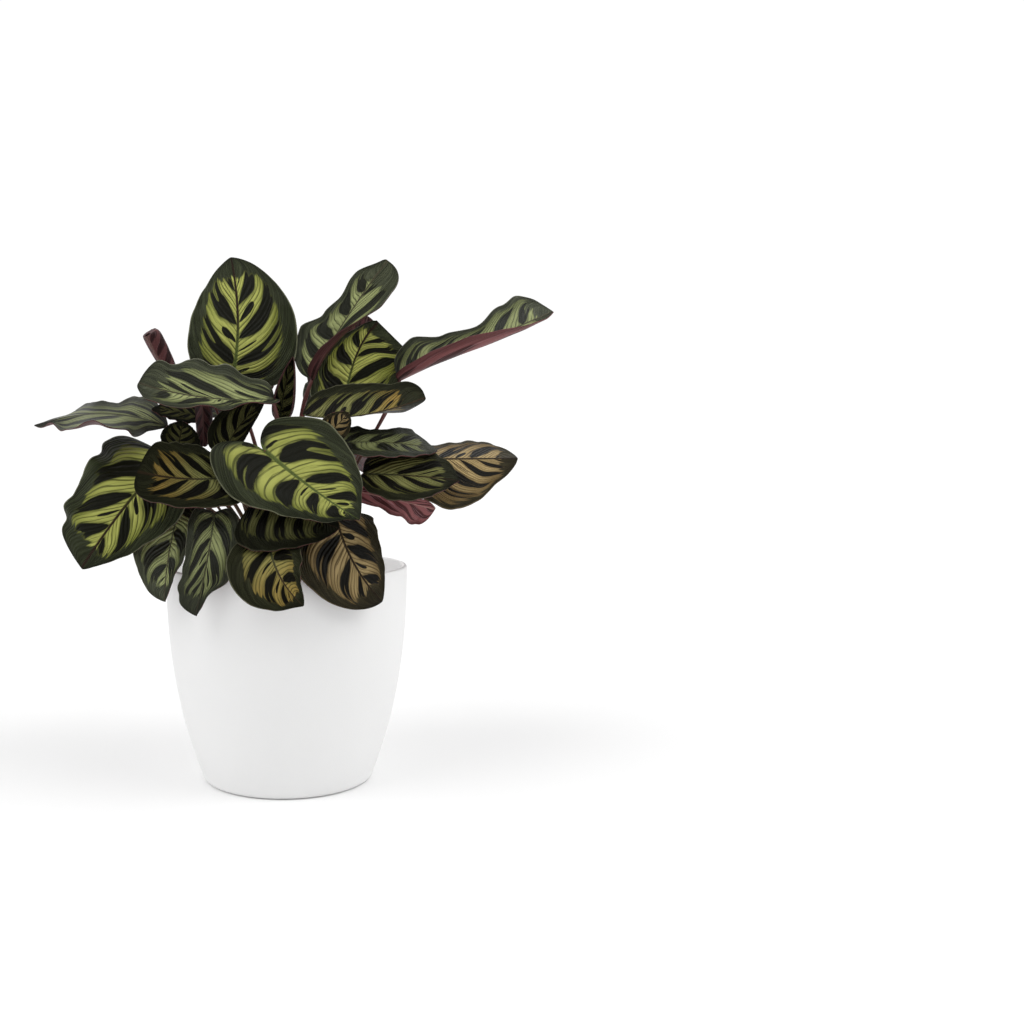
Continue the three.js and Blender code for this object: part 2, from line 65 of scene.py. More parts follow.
SIDE_LIGHT_SPREAD = 62
SIDE_LIGHT_TILT = 44
SIDE_LIGHT_WIDTH = 45
SIDE_LIGHT_STRENGTH = 0.86
for side, spread in (("left", -SIDE_LIGHT_SPREAD), ("right", SIDE_LIGHT_SPREAD)):
    bpy.ops.object.light_add(type="SUN", rotation=(math.radians(SIDE_LIGHT_TILT), 0, math.radians(spread)))
    side_light = bpy.context.object
    side_light.name = side + "_softbox"
    side_light.data.energy = SIDE_LIGHT_STRENGTH
    side_light.data.angle = math.radians(SIDE_LIGHT_WIDTH)


def linear(red, green, blue):
    """Turns a colour as a screen shows it, 0 to 255 a channel, into the linear colour that a shader takes."""
    shares = [channel / 255 for channel in (red, green, blue)]
    return tuple(s / 12.92 if s < 0.04045 else ((s + 0.055) / 1.055) ** 2.4 for s in shares) + (1.0,)


def grey(share):
    return share, share, share, 1.0


class Wire:
    """A shader socket that Python can reckon with: each operator or call adds one node behind it."""

    def __init__(self, tree, socket):
        self.tree = tree
        self.socket = socket

    def node(self, kind, settings, values, output=0):
        """Adds a node of a kind, sets it up, fills its sockets with values or wires, and gives one output."""
        made = self.tree.nodes.new(kind)
        for name, value in settings.items():
            setattr(made, name, value)
        for place, value in values.items():
            if isinstance(value, Wire):
                self.tree.links.new(value.socket, made.inputs[place])
            else:
                made.inputs[place].default_value = value
        return Wire(self.tree, made.outputs[output])

    def math(self, operation, *values):
        return self.node("ShaderNodeMath", {"operation": operation}, dict(enumerate(values)))

    def __add__(self, other):
        return self.math("ADD", self, other)

    def __radd__(self, other):
        return self.math("ADD", other, self)

    def __sub__(self, other):
        return self.math("SUBTRACT", self, other)

    def __rsub__(self, other):
        return self.math("SUBTRACT", other, self)

    def __mul__(self, other):
        return self.math("MULTIPLY", self, other)

    def __rmul__(self, other):
        return self.math("MULTIPLY", other, self)

    def __truediv__(self, other):
        return self.math("DIVIDE", self, other)

    def __rtruediv__(self, other):
        return self.math("DIVIDE", other, self)

    def __pow__(self, other):
        return self.math("POWER", self, other)

    def __abs__(self):
        return self.math("ABSOLUTE", self)

    def floor(self):
        return self.math("FLOOR", self)

    def wave(self):
        """The cosine of a full turn per whole number."""
        return self.math("COSINE", self * (2 * math.pi))

    def least(self, other):
        return self.math("MINIMUM", self, other)

    def most(self, other):
        return self.math("MAXIMUM", self, other)

    def rise(self, low, high):
        """0 up to low, 1 from high on, with a soft step between."""
        return self.node(
            "ShaderNodeMapRange", {"interpolation_type": "SMOOTHSTEP"}, {0: self, 1: low, 2: high, 3: 0.0, 4: 1.0}
        )

    def tint(self, first, second):
        """The first colour where this mask is 0, and the second where it is 1."""
        return self.node("ShaderNodeMix", {"data_type": "RGBA"}, {0: self, 6: first, 7: second}, output=2)

    def shade(self, colour, low, high):
        """The colour, darkened or lightened between two shares as this mask goes from 0 to 1."""
        share = self * (high - low) + low
        plain = colour if isinstance(colour, Wire) else colour[:3]
        return self.node("ShaderNodeVectorMath", {"operation": "SCALE"}, {0: plain, 3: share})

    def part(self, axis):
        """One number of this vector: 0 for x, 1 for y, 2 for z."""
        return self.node("ShaderNodeSeparateXYZ", {}, {0: self}, output=axis)

    def stretch(self, shares):
        return self.node("ShaderNodeVectorMath", {"operation": "MULTIPLY"}, {0: self, 1: shares})

    def grain(self, size, detail=2.0, roughness=0.5):
        """Smooth noise about 0, between -0.5 and 0.5, over this vector."""
        values = {"Vector": self, "Scale": size, "Detail": detail, "Roughness": roughness}
        return self.node("ShaderNodeTexNoise", {}, values) - 0.5


class Finish:
    """A material: its nodes, its shader and the wires that a pattern starts from."""

    def __init__(self, name, roughness=0.5, **shader_values):
        self.material = bpy.data.materials.new(name)
        self.material.use_nodes = True
        self.tree = self.material.node_tree
        self.shader = self.tree.nodes["Principled BSDF"]
        self.shader.inputs["Roughness"].default_value = roughness
        for socket, value in shader_values.items():
            self.shader.inputs[socket.replace("_", " ")].default_value = value
        self.start = Wire(self.tree, None)
        self.place = self.start.node("ShaderNodeTexCoord", {}, {}, output="Object")

    def paint(self, **fields):
        """Feeds the shader's sockets, such as Base_Color, with wires."""
        for socket, wire in fields.items():
            self.tree.links.new(wire.socket, self.shader.inputs[socket.replace("_", " ")])

    def emboss(self, height, depth, strength=1.0):
        """Bumps the surface by a height field, depth in metres for a height of 1."""
        normal = height.node("ShaderNodeBump", {}, {"Height": height, "Distance": depth, "Strength": strength})
        self.paint(Normal=normal)


FRONT_WALL = 0.35
BACK_WALL = 1.03
CEILING = 0.76
FLOOR_SIZE = 40
FLOOR_WHITE = 0.965

surround = bpy.data.worlds.new("studio_surround")
surround.use_nodes = True
scene.world = surround
sky = Wire(surround.node_tree, None)
look = sky.node("ShaderNodeTexCoord", {}, {}, output="Generated")
wall = look.part(1).rise(-0.6, 0.2).tint(grey(FRONT_WALL), grey(BACK_WALL))
wall = look.part(2).rise(0.3, 0.9).tint(wall, grey(CEILING))
surround.node_tree.links.new(wall.socket, surround.node_tree.nodes["Background"].inputs["Color"])

floor_finish = Finish("studio_floor", roughness=0.9)
floor_finish.paint(Base_Color=floor_finish.place.grain(3.0).shade(grey(FLOOR_WHITE), 0.995, 1.0))
bpy.ops.mesh.primitive_plane_add(size=FLOOR_SIZE)
floor = bpy.context.object
floor.name = "studio_floor"
floor.data.materials.append(floor_finish.material)

# ---- Decorative pot: one moulded cup of matte white plastic, widest at the rim and drawn in to the foot. ----
# Its wall is 3 mm thick, with a rounded rim, a rounded edge at the flat foot and a bare outside.
# The inside is painted with a faint glow, painted light that stands in for light coming through the thin wall.

RIM_RADIUS = 70 * MM
POT_HEIGHT = 125 * MM
FOOT_TAPER = 21 * MM
TAPER_POWER = 2.35
POT_WALL = 3 * MM
POT_FLOOR = 4 * MM
FOOT_ROUNDING = 4 * MM
RIM_ROUNDING = 1.2 * MM
POT_SIDES = 160
CREASE_ANGLE = 35
OUTSIDE_WHITE = (0.86, 0.86, 0.857, 1)
INSIDE_WHITE = (0.88, 0.88, 0.877, 1)
INSIDE_PAINTED_GLOW = 0.5


def pot_radius(height):
    return RIM_RADIUS - FOOT_TAPER * (1 - height / POT_HEIGHT) ** TAPER_POWER


def turned_cup(name, rings, sides):
    """Draws a cup ring by ring from a disc: each ring is a radius and a height, and the last one is closed."""
    bpy.ops.object.select_all(action="DESELECT")
    radius, height = rings[0]
    bpy.ops.mesh.primitive_circle_add(vertices=sides, radius=radius, location=(0, 0, height), fill_type="NGON")
    cup = bpy.context.object
    cup.name = name
    bpy.ops.object.transform_apply(location=True)
    bpy.ops.object.mode_set(mode="EDIT")
    bpy.ops.mesh.select_all(action="SELECT")
    for next_radius, next_height in rings[1:]:
        bpy.ops.mesh.extrude_region_move(TRANSFORM_OT_translate={"value": (0, 0, next_height - height)})
        share = next_radius / radius
        bpy.ops.transform.resize(value=(share, share, 1), center_override=(0, 0, next_height))
        radius, height = next_radius, next_height
    bpy.ops.mesh.select_all(action="SELECT")
    bpy.ops.mesh.normals_make_consistent(inside=False)
    bpy.ops.object.mode_set(mode="OBJECT")
    bpy.ops.object.shade_smooth_by_angle(angle=math.radians(CREASE_ANGLE))
    return cup


def settle(piece, node, finishes=()):
    """Gives a finished piece its materials and its place in the frame."""
    for finish in finishes:
        piece.data.materials.append(finish.material)
    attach(piece, "root")
    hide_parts(node)


foot_arc = [math.pi / 2 * step / 6 for step in range(7)]
foot_radius = pot_radius(FOOT_ROUNDING) - FOOT_ROUNDING
outer_heights = np.linspace(FOOT_ROUNDING, POT_HEIGHT - RIM_ROUNDING, 33)[1:]
inner_heights = np.linspace(POT_HEIGHT - RIM_ROUNDING, POT_FLOOR + FOOT_ROUNDING, 25)
rim_middle = RIM_RADIUS - POT_WALL / 2
pot_rings = [
    (foot_radius + FOOT_ROUNDING * math.sin(turn), FOOT_ROUNDING * (1 - math.cos(turn))) for turn in foot_arc
]
pot_rings += [(pot_radius(height), height) for height in outer_heights]
pot_rings += [
    (rim_middle + POT_WALL / 2 * math.cos(turn), POT_HEIGHT - RIM_ROUNDING * (1 - math.sin(turn)))
    for turn in np.linspace(0, math.pi, 11)[1:-1]
]
pot_rings += [(pot_radius(height) - POT_WALL, height) for height in inner_heights]
pot_rings.append((pot_radius(POT_FLOOR) - POT_WALL - 2 * MM, POT_FLOOR + 1 * MM))
pot_rings.append((pot_radius(POT_FLOOR) - POT_WALL - 5 * MM, POT_FLOOR))
white_pot = turned_cup("white_pot_moulding", pot_rings, POT_SIDES)

white_plastic = Finish("matte_white_plastic", roughness=0.55)
cloudiness = white_plastic.place.grain(22.0, detail=3.0)
stipple = white_plastic.place.grain(2600.0, detail=1.0)
white_plastic.paint(
    Base_Color=(cloudiness + 0.5).shade(OUTSIDE_WHITE, 0.98, 1.02),
    Roughness=0.56 + cloudiness * 0.12 + stipple * 0.08,
)
white_plastic.emboss(stipple + cloudiness * 0.6, depth=0.00006)

# Painted light: the inside's material glows faintly with its own white, so the inner wall stays bright where the
# leaves shade it.
inner_plastic_painted_glow = Finish("white_plastic_inside_painted_glow", roughness=0.6, Emission_Strength=INSIDE_PAINTED_GLOW)
inner_cloud = inner_plastic_painted_glow.place.grain(30.0, detail=3.0)
inner_white_and_painted_glow = (inner_cloud + 0.5).shade(INSIDE_WHITE, 0.96, 1.02)
inner_plastic_painted_glow.paint(Base_Color=inner_white_and_painted_glow, Emission_Color=inner_white_and_painted_glow, Roughness=0.6 + inner_cloud * 0.12)
# Faces inside the wall get the painted glow.
for face in white_pot.data.polygons:
    reach = math.hypot(face.center.x, face.center.y)
    face.material_index = int(face.center.z > POT_FLOOR and reach < pot_radius(face.center.z) - POT_WALL / 2)
settle(white_pot, "white_pot", [white_plastic, inner_plastic_painted_glow])

# ---- Grower's pot: the thin black cup that the plant was raised in, with a rolled lip and drain holes. ----
# It stands on the decorative pot's floor and ends a little below its rim.

LINER_BASE = 4.3 * MM
LINER_HEIGHT = 107 * MM
LINER_FOOT_RADIUS = 44 * MM
LINER_TOP_RADIUS = 60 * MM
LINER_WALL = 1.2 * MM
LINER_LIP = 1.6 * MM
LIP_DEPTH = 3 * MM
LINER_SIDES = 96
DRAIN_HOLES = 8
DRAIN_RADIUS = 3.5 * MM
DRAIN_CIRCLE = 30 * MM


def liner_radius(height):
    share = (height - LINER_BASE) / LINER_HEIGHT
    return LINER_FOOT_RADIUS + (LINER_TOP_RADIUS - LINER_FOOT_RADIUS) * share


liner_rim = LINER_BASE + LINER_HEIGHT
under_lip = liner_rim - LIP_DEPTH
liner_rings = [(LINER_FOOT_RADIUS - 1 * MM, LINER_BASE), (LINER_FOOT_RADIUS, LINER_BASE + 1 * MM)]
outer_heights = np.linspace(LINER_BASE + 2 * MM, under_lip, 12)
inner_heights = np.linspace(under_lip, LINER_BASE + 3 * MM, 12)
liner_rings += [(liner_radius(height), height) for height in outer_heights]
liner_rings += [
    (LINER_TOP_RADIUS + LINER_LIP * 0.8, under_lip),
    (LINER_TOP_RADIUS + LINER_LIP, under_lip + 0.5 * MM),
    (LINER_TOP_RADIUS + LINER_LIP, liner_rim - 0.6 * MM),
    (LINER_TOP_RADIUS + LINER_LIP * 0.6, liner_rim),
    (LINER_TOP_RADIUS - LINER_WALL * 0.6, liner_rim),
    (LINER_TOP_RADIUS - LINER_WALL, liner_rim - 0.5 * MM),
]
liner_rings += [(liner_radius(height) - LINER_WALL, height) for height in inner_heights]
liner_rings.append((LINER_FOOT_RADIUS - LINER_WALL - 1 * MM, LINER_BASE + LINER_WALL))
grower_pot = turned_cup("grower_pot_moulding", liner_rings, LINER_SIDES)

for hole in range(DRAIN_HOLES):
    turn = 2 * math.pi * hole / DRAIN_HOLES
    bpy.ops.mesh.primitive_cylinder_add(
        vertices=24,
        radius=DRAIN_RADIUS,
        depth=6 * MM,
        location=(DRAIN_CIRCLE * math.cos(turn), DRAIN_CIRCLE * math.sin(turn), LINER_BASE),
    )
    drill = bpy.context.object
    cut = grower_pot.modifiers.new("drain_hole", "BOOLEAN")
    cut.operation = "DIFFERENCE"
    cut.object = drill
    bpy.context.view_layer.objects.active = grower_pot
    bpy.ops.object.modifier_apply(modifier=cut.name)
    bpy.data.objects.remove(drill)

black_plastic = Finish("black_nursery_plastic", roughness=0.5)
scuffs = black_plastic.place.grain(60.0, detail=4.0, roughness=0.7)
black_plastic.paint(
    Base_Color=scuffs.rise(0.05, 0.3).tint(linear(28, 28, 29), linear(52, 50, 47)),
    Roughness=0.45 + scuffs * 0.3,
)
black_plastic.emboss(scuffs, depth=0.0001)
settle(grower_pot, "grower_pot", [black_plastic])

# ---- Potting soil: moist peat that rises a little to the plant, with loose crumbs and a few white grains. ----
# The body is a drum that fills the grower's pot, and the crumbs lie on its surface.

SOIL_TOP = 106 * MM
SOIL_CROWN = 2 * MM
SOIL_CROWN_RADIUS = 58 * MM
SOIL_GAP = 0.3 * MM
SOIL_SIDES = 128
LOOSE_SOIL_FROM = 100.5 * MM
CLODS_PER_METRE = 140
CLOD_HEIGHT = 1.1 * MM
CRUMBS = 900
CRUMB_SIZES = (0.5 * MM, 1.9 * MM)
PERLITE_GRAINS = 36
PERLITE_SIZES = (0.6 * MM, 1.3 * MM)


def soil_height(radius):
    return SOIL_TOP - SOIL_CROWN * (radius / SOIL_CROWN_RADIUS) ** 2


soil_bottom = LINER_BASE + LINER_WALL + SOIL_GAP
soil_edge = liner_radius(SOIL_TOP - SOIL_CROWN) - LINER_WALL - SOIL_GAP
soil_rings = [(LINER_FOOT_RADIUS - 2 * MM, soil_bottom)]
soil_rings += [(liner_radius(height) - LINER_WALL - 0.4 * MM, height) for height in (30 * MM, 70 * MM, 100 * MM)]
soil_rings += [(radius, soil_height(radius)) for radius in np.linspace(soil_edge, 0.8 * MM, 40)]
soil = turned_cup("potting_soil_body", soil_rings, SOIL_SIDES)
for corner in soil.data.vertices:
    if corner.co.z > LOOSE_SOIL_FROM:
        clod = noise.fractal(corner.co * CLODS_PER_METRE, 0.8, 2.1, 4)
        corner.co.z = min(corner.co.z + clod * CLOD_HEIGHT, SOIL_TOP + 0.4 * MM)

bpy.ops.mesh.primitive_ico_sphere_add(subdivisions=1, radius=1)
crumb_shape = bpy.context.object
crumb_corners = np.array([corner.co[:] for corner in crumb_shape.data.vertices])
crumb_faces = np.array([face.vertices[:] for face in crumb_shape.data.polygons])
bpy.data.objects.remove(crumb_shape)
draw = np.random.default_rng(7)


def scatter_piece(name, count, low, high):
    """Crumbs as one piece: squashed, turned balls from low to high in radius, strewn over the soil."""
    corners = []
    faces = []
    for index in range(count):
        reach = soil_edge * math.sqrt(draw.uniform(0.0, 0.95))
        turn = draw.uniform(0, 2 * math.pi)
        size = draw.uniform(low, high)
        squash = draw.uniform(0.5, 1.0, 3)
        lumps = 1 + draw.uniform(-0.25, 0.25, (len(crumb_corners), 1))
        where = np.array([reach * math.cos(turn), reach * math.sin(turn), soil_height(reach) + size * 0.15])
        corners.append(crumb_corners * lumps * squash * size + where)
        faces.append(crumb_faces + index * len(crumb_corners))
    mesh = bpy.data.meshes.new(name)
    mesh.from_pydata(np.concatenate(corners).tolist(), [], np.concatenate(faces).tolist())
    piece = bpy.data.objects.new(name, mesh)
    scene.collection.objects.link(piece)
    mesh.shade_smooth()
    return piece


peat = Finish("moist_peat", roughness=0.95)
peat_grain = peat.place.grain(900.0, detail=5.0, roughness=0.7)
peat_patch = peat.place.grain(120.0, detail=2.0)
peat_fibre = peat.place.stretch((1.0, 0.3, 1.0))
straw = peat_fibre.grain(700.0, detail=1.0).rise(0.16, 0.2)
peat_dark = (peat_grain + peat_patch * 0.6).rise(-0.35, 0.35).tint(linear(26, 19, 14), linear(74, 55, 41))
peat.paint(Base_Color=straw.tint(peat_dark, linear(120, 92, 62)), Roughness=0.9 + peat_grain * 0.2)
peat.emboss(peat_grain, depth=0.0008)

perlite = Finish("white_perlite", roughness=0.9)
perlite_grain = perlite.place.grain(1500.0, detail=3.0)
perlite.paint(Base_Color=perlite_grain.rise(-0.3, 0.3).tint(linear(180, 172, 158), linear(232, 228, 218)))
perlite.emboss(perlite_grain, depth=0.0003)

crumbs = scatter_piece("soil_crumbs", CRUMBS, *CRUMB_SIZES)
grains = scatter_piece("soil_perlite_grains", PERLITE_GRAINS, *PERLITE_SIZES)
settle(soil, "potting_soil", [peat])
settle(crumbs, "potting_soil", [peat])
settle(grains, "potting_soil", [perlite])

# ---- Lime leaves: the four brightest of the front, with yellow-green bands between near-black blotches. ----
# A blade is a sheet half a millimetre thick, bent round its midrib, grooved above it and ribbed below: a grid
# wrapped on the leaf's surface. Its stalk is a tapered tube from the soil, thickened just below the blade.

ACROSS = 60
ALONG = 90
BLADE_THICKNESS = 0.5 * MM
BASE_HALF_WIDTH = 1.1
TIP_HALF_WIDTH = 0.6
GROOVE_DEPTH = 0.45
GROOVE_WIDTH = 1.1
RIB_HEIGHT = 1.0
RIB_WIDTH = 0.9
STALK_SINK = 1.0
STALK_GAP = 0.35
STALK_REACH = 0.6
STALK_RADII = (1.9, 1.6, 1.4, 1.3, 1.2, 1.15, 1.1, 1.45, 0.9)
SMALL_LEAF = 12
SMALL_LEAF_STALK = 0.65
RIPPLE_SHIFT = 0.37
FRILLS = 5.3
FRILL_SHIFT = 0.4
SOFT_ANGLE = 60
MIDRIB_GAP = 0.03
BLOTCH_END = 0.7
BLOTCH_END_SPREAD = 0.22
BLOTCH_SPREAD = 0.08
SMALL_BLOTCH_END = 0.32
SMALL_BLOTCH_PLUMP = 0.26
SMALL_BLOTCH_RARITY = 0.55
STREAK_START = 0.42
STREAK_PLUMP = 0.24
STREAK_RARITY = 0.45
MARGIN_BLUR = 0.05
TIP_START = 0.82
FURROWS = 6
EDGE_START = 0.97
RIPENESS = 0.85
HALVES_APART = 31

# What a leaf is where its own entry doesn't say otherwise, in millimetres and degrees. Of lobe, fold, curl, edge,
# blotches and sweep, the first value is for the left half and the second for the right. Along the blade u runs
# from 0 at the base to 1 at the tip, and v from -1 to 1 across it.
PLAIN_LEAF = dict(
    lobe=(6, 6),
    lobe_shape=(1.3, 4),
    outline=(0.4, 0.68),
    fold=((0,), (0,)),
    curl=((0,), (0,)),
    edge=((1, 1), (1, 1)),
    wave=(0, 0, 2, 0),
    frill=0.5,
    bend=None,
    joined=False,
    blotches=((-0.02, 0.2, 0.42, 0.64), (-0.12, 0.1, 0.32, 0.54, 0.72)),
    sweep=(0.7, 0.7),
    rib_reddens=(0.15, 0.6),
    plump=0.22,
    margin=0.69,
    # tone: each leaf's brightness, painted light and shade: below 1 for leaves in the shade of others, above 1
    # for well-lit ones.
    painted_light_tone=1.0,
    ripening=(1.5, 2.0),
    # underside_painted_light_tone: the underside's brightness, painted light and shade as the tone is for the
    # top.
    underside_painted_light_tone=0.8,
    shine=0.12,
)


def through(values, u):
    """Values at u, from 0 to 1, of the smooth curve through evenly spaced numbers or points."""
    values = [np.asarray(value, float) for value in values]
    last = len(values) - 1
    total = 0
    for i, value in enumerate(values):
        weight = np.ones_like(u)
        for j in range(last + 1):
            if j != i:
                weight = weight * (u * last - j) / (i - j)
        total = total + (weight[..., None] * value if value.ndim else weight * value)
    return total


def unit(vectors):
    return vectors / np.linalg.norm(vectors, axis=-1, keepdims=True)


def midrib_frame(leaf, u):
    """The midrib's point, its direction towards the tip and the way the top face looks, at each u."""
    step = 1e-4
    direction = unit(through(leaf["spine"], u + step) - through(leaf["spine"], u - step))
    face = through([unit(np.asarray(way, float)) for way in leaf["faces"]], u)
    face = unit(face - (face * direction).sum(-1, keepdims=True) * direction)
    return through(leaf["spine"], u), direction, face


def outline_share(outline, u):
    widening, narrowing = outline
    widest = widening / (widening + narrowing)
    full = widest**widening * (1 - widest) ** narrowing
    inside = np.clip(u, 1e-6, 1 - 1e-6)
    return inside**widening * (1 - inside) ** narrowing / full


def edge_share(values, u):
    values = np.asarray(values, float)
    place = u * (len(values) - 1)
    index = np.clip(place.astype(int), 0, len(values) - 2)
    blend = place - index
    blend = blend * blend * (3 - 2 * blend)
    return values[index] * (1 - blend) + values[index + 1] * blend


def half_width(leaf, side, u):
    share = outline_share(leaf["outline"], u)
    least = BASE_HALF_WIDTH * (1 - u) + TIP_HALF_WIDTH * u
    return np.maximum(leaf["half"][side] * share * edge_share(leaf["edge"][side], u), least)


def sided(v, left, right):
    return np.where(v < 0, left, right)


def blade_points(leaf, u, v):
    """Points in the middle of the blade, in millimetres."""
    centre, direction, face = midrib_frame(leaf, u)
    right = np.cross(direction, face)
    reach = np.abs(v)
    width = sided(v, half_width(leaf, 0, u), half_width(leaf, 1, u))
    tilt = np.radians(sided(v, through(leaf["fold"][0], u), through(leaf["fold"][1], u)))
    curl = np.radians(sided(v, through(leaf["curl"][0], u), through(leaf["curl"][1], u)))
    curl = np.where(np.abs(curl) < 1e-3, 1e-3, curl)
    lateral = (np.sin(tilt + curl * reach) - np.sin(tilt)) / curl * width
    lift = (np.cos(tilt) - np.cos(tilt + curl * reach)) / curl * width
    power, fade = leaf["lobe_shape"]
    lobe = sided(v, leaf["lobe"][0], leaf["lobe"][1])
    back = 2 * lobe * (outline_share(leaf["outline"], u) * reach) ** power * (1 - u) ** fade
    left_wave, right_wave, waves, start = leaf["wave"]
    calm = np.minimum(1, 6 * u) * np.minimum(1, 6 * (1 - u))
    ripple = np.sin(2 * np.pi * (waves * u + start + RIPPLE_SHIFT * (v < 0)))
    frill_turns = FRILLS * u + 3 * start + FRILL_SHIFT * (v < 0)
    frill = np.sin(2 * np.pi * frill_turns) + 0.25 * np.sin(4.6 * np.pi * frill_turns)
    frill = leaf["frill"] * frill * reach**4
    height = lift + (sided(v, left_wave, right_wave) * reach**2 * ripple + frill) * calm
    along = np.sign(v) * lateral
    return centre + right * along[..., None] + face * height[..., None] - direction * back[..., None]


def blade_normals(leaf, u, v):
    step = 0.02
    sideways = blade_points(leaf, u, np.minimum(v + step, 1)) - blade_points(leaf, u, np.maximum(v - step, -1))
    lengthways = blade_points(leaf, np.minimum(u + step, 1), v) - blade_points(leaf, np.maximum(u - step, 0), v)
    return unit(np.cross(sideways, lengthways))


def vein_count(leaf, side, u, r):
    """The place across the veins, where each whole number is the middle of one of this half's blotches."""
    crossing = u - leaf["sweep"][side] * np.minimum(0.22 + 0.42 * u, 0.46) * r**0.7 - 0.3 * r**4
    starts = np.array(leaf["blotches"][side])
    before = np.minimum(crossing - starts[0], 0) / (starts[1] - starts[0])
    after = np.maximum(crossing - starts[-1], 0) / (starts[-1] - starts[-2])
    return np.interp(crossing, starts, np.arange(len(starts))) + before + after


def blade_mesh(leaf, finishes):
    """A grid with a thickness, its corners moved to the two faces of the blade.

    Its UV map gives v and u, and its second map the place across the veins and the side of the midrib.
    """
    bpy.ops.object.select_all(action="DESELECT")
    bpy.ops.mesh.primitive_grid_add(x_subdivisions=ACROSS, y_subdivisions=ALONG, size=2)
    blade = bpy.context.object
    for finish in finishes:
        blade.data.materials.append(finish.material)
    thicken = blade.modifiers.new("thickness", "SOLIDIFY")
    thicken.thickness = 0.1
    thicken.material_offset = 1
    thicken.material_offset_rim = 1
    bpy.ops.object.modifier_apply(modifier=thicken.name)
    corners = np.array([corner.co[:] for corner in blade.data.vertices])
    v = corners[:, 0] * (0.35 + 0.65 * np.abs(corners[:, 0]))
    u = (1 - np.cos(np.pi * (corners[:, 1] + 1) / 2)) / 2
    from_rib = np.abs(v) * sided(v, half_width(leaf, 0, u), half_width(leaf, 1, u))
    groove = GROOVE_DEPTH * np.exp(-((from_rib / GROOVE_WIDTH) ** 2)) * (1 - u)
    rib = RIB_HEIGHT * np.exp(-((from_rib / RIB_WIDTH) ** 2)) * (1 - u) ** 0.7
    half = BLADE_THICKNESS / MM / 2
    offset = np.where(corners[:, 2] > -0.05, half - groove, -half - rib)
    place = blade_points(leaf, u, v) + blade_normals(leaf, u, v) * offset[:, None]
    blade.data.vertices.foreach_set("co", (place * MM).ravel())

    corner_at = np.array([loop.vertex_index for loop in blade.data.loops])
    first_loops = np.array([face.loop_start for face in blade.data.polygons])
    loop_counts = np.array([face.loop_total for face in blade.data.polygons])
    on_right = np.repeat(np.add.reduceat(v[corner_at], first_loops) > 0, loop_counts)
    count = [vein_count(leaf, side, u[corner_at], np.abs(v[corner_at])) for side in (0, 1)]
    count = np.where(on_right, count[1], count[0])
    blade.data.uv_layers.active.data.foreach_set(
        "uv", np.stack([0.5 + 0.5 * v[corner_at], u[corner_at]], axis=1).ravel()
    )
    vein_map = blade.data.uv_layers.new(name="veins")
    vein_map.data.foreach_set("uv", np.stack([count, on_right], axis=1).ravel())
    bpy.ops.object.shade_smooth_by_angle(angle=math.radians(SOFT_ANGLE))
    return blade


def stalk_mesh(leaf):
    """A tapered tube along the stalk's curve, swollen into a joint below the blade."""
    foot_x, foot_y = leaf["foot"]
    foot_height = soil_height(math.hypot(foot_x, foot_y) * MM) / MM - STALK_SINK
    foot = np.array([foot_x, foot_y, foot_height])
    base, direction, face = [row[0] for row in midrib_frame(leaf, np.array([0.0]))]
    length = np.linalg.norm(base - foot)
    low = foot + np.array([0, 0, 0.45 * length])
    high = base - direction * 0.18 * length - face * 0.2 * length
    if leaf["bend"]:
        low, high = np.array(leaf["bend"][0], float), np.array(leaf["bend"][1], float)
    end = base - face * STALK_GAP + direction * STALK_REACH
    bpy.ops.object.select_all(action="DESELECT")
    bpy.ops.curve.primitive_bezier_curve_add()
    stalk = bpy.context.object
    stalk.data.dimensions = "3D"
    first, last = stalk.data.splines[0].bezier_points
    for point in (first, last):
        point.handle_left_type = "FREE"
        point.handle_right_type = "FREE"
    first.co, first.handle_left, first.handle_right = [Vector(p * MM) for p in (foot, foot, low)]
    last.co, last.handle_left, last.handle_right = [Vector(p * MM) for p in (end, high, end)]
    bpy.ops.object.mode_set(mode="EDIT")
    bpy.ops.curve.select_all(action="SELECT")
    bpy.ops.curve.subdivide(number_cuts=7)
    bpy.ops.object.mode_set(mode="OBJECT")
    thickness = 1.0 if leaf["half"][1] > SMALL_LEAF else SMALL_LEAF_STALK
    for point, radius in zip(stalk.data.splines[0].bezier_points, STALK_RADII):
        point.radius = radius * thickness
    stalk.data.bevel_depth = 1 * MM
    stalk.data.bevel_resolution = 3
    stalk.data.resolution_u = 7
    stalk.data.use_fill_caps = True
    bpy.ops.object.convert(target="MESH")
    stalk = bpy.context.object
    bpy.ops.object.shade_smooth_by_angle(angle=math.radians(SOFT_ANGLE))
    return stalk


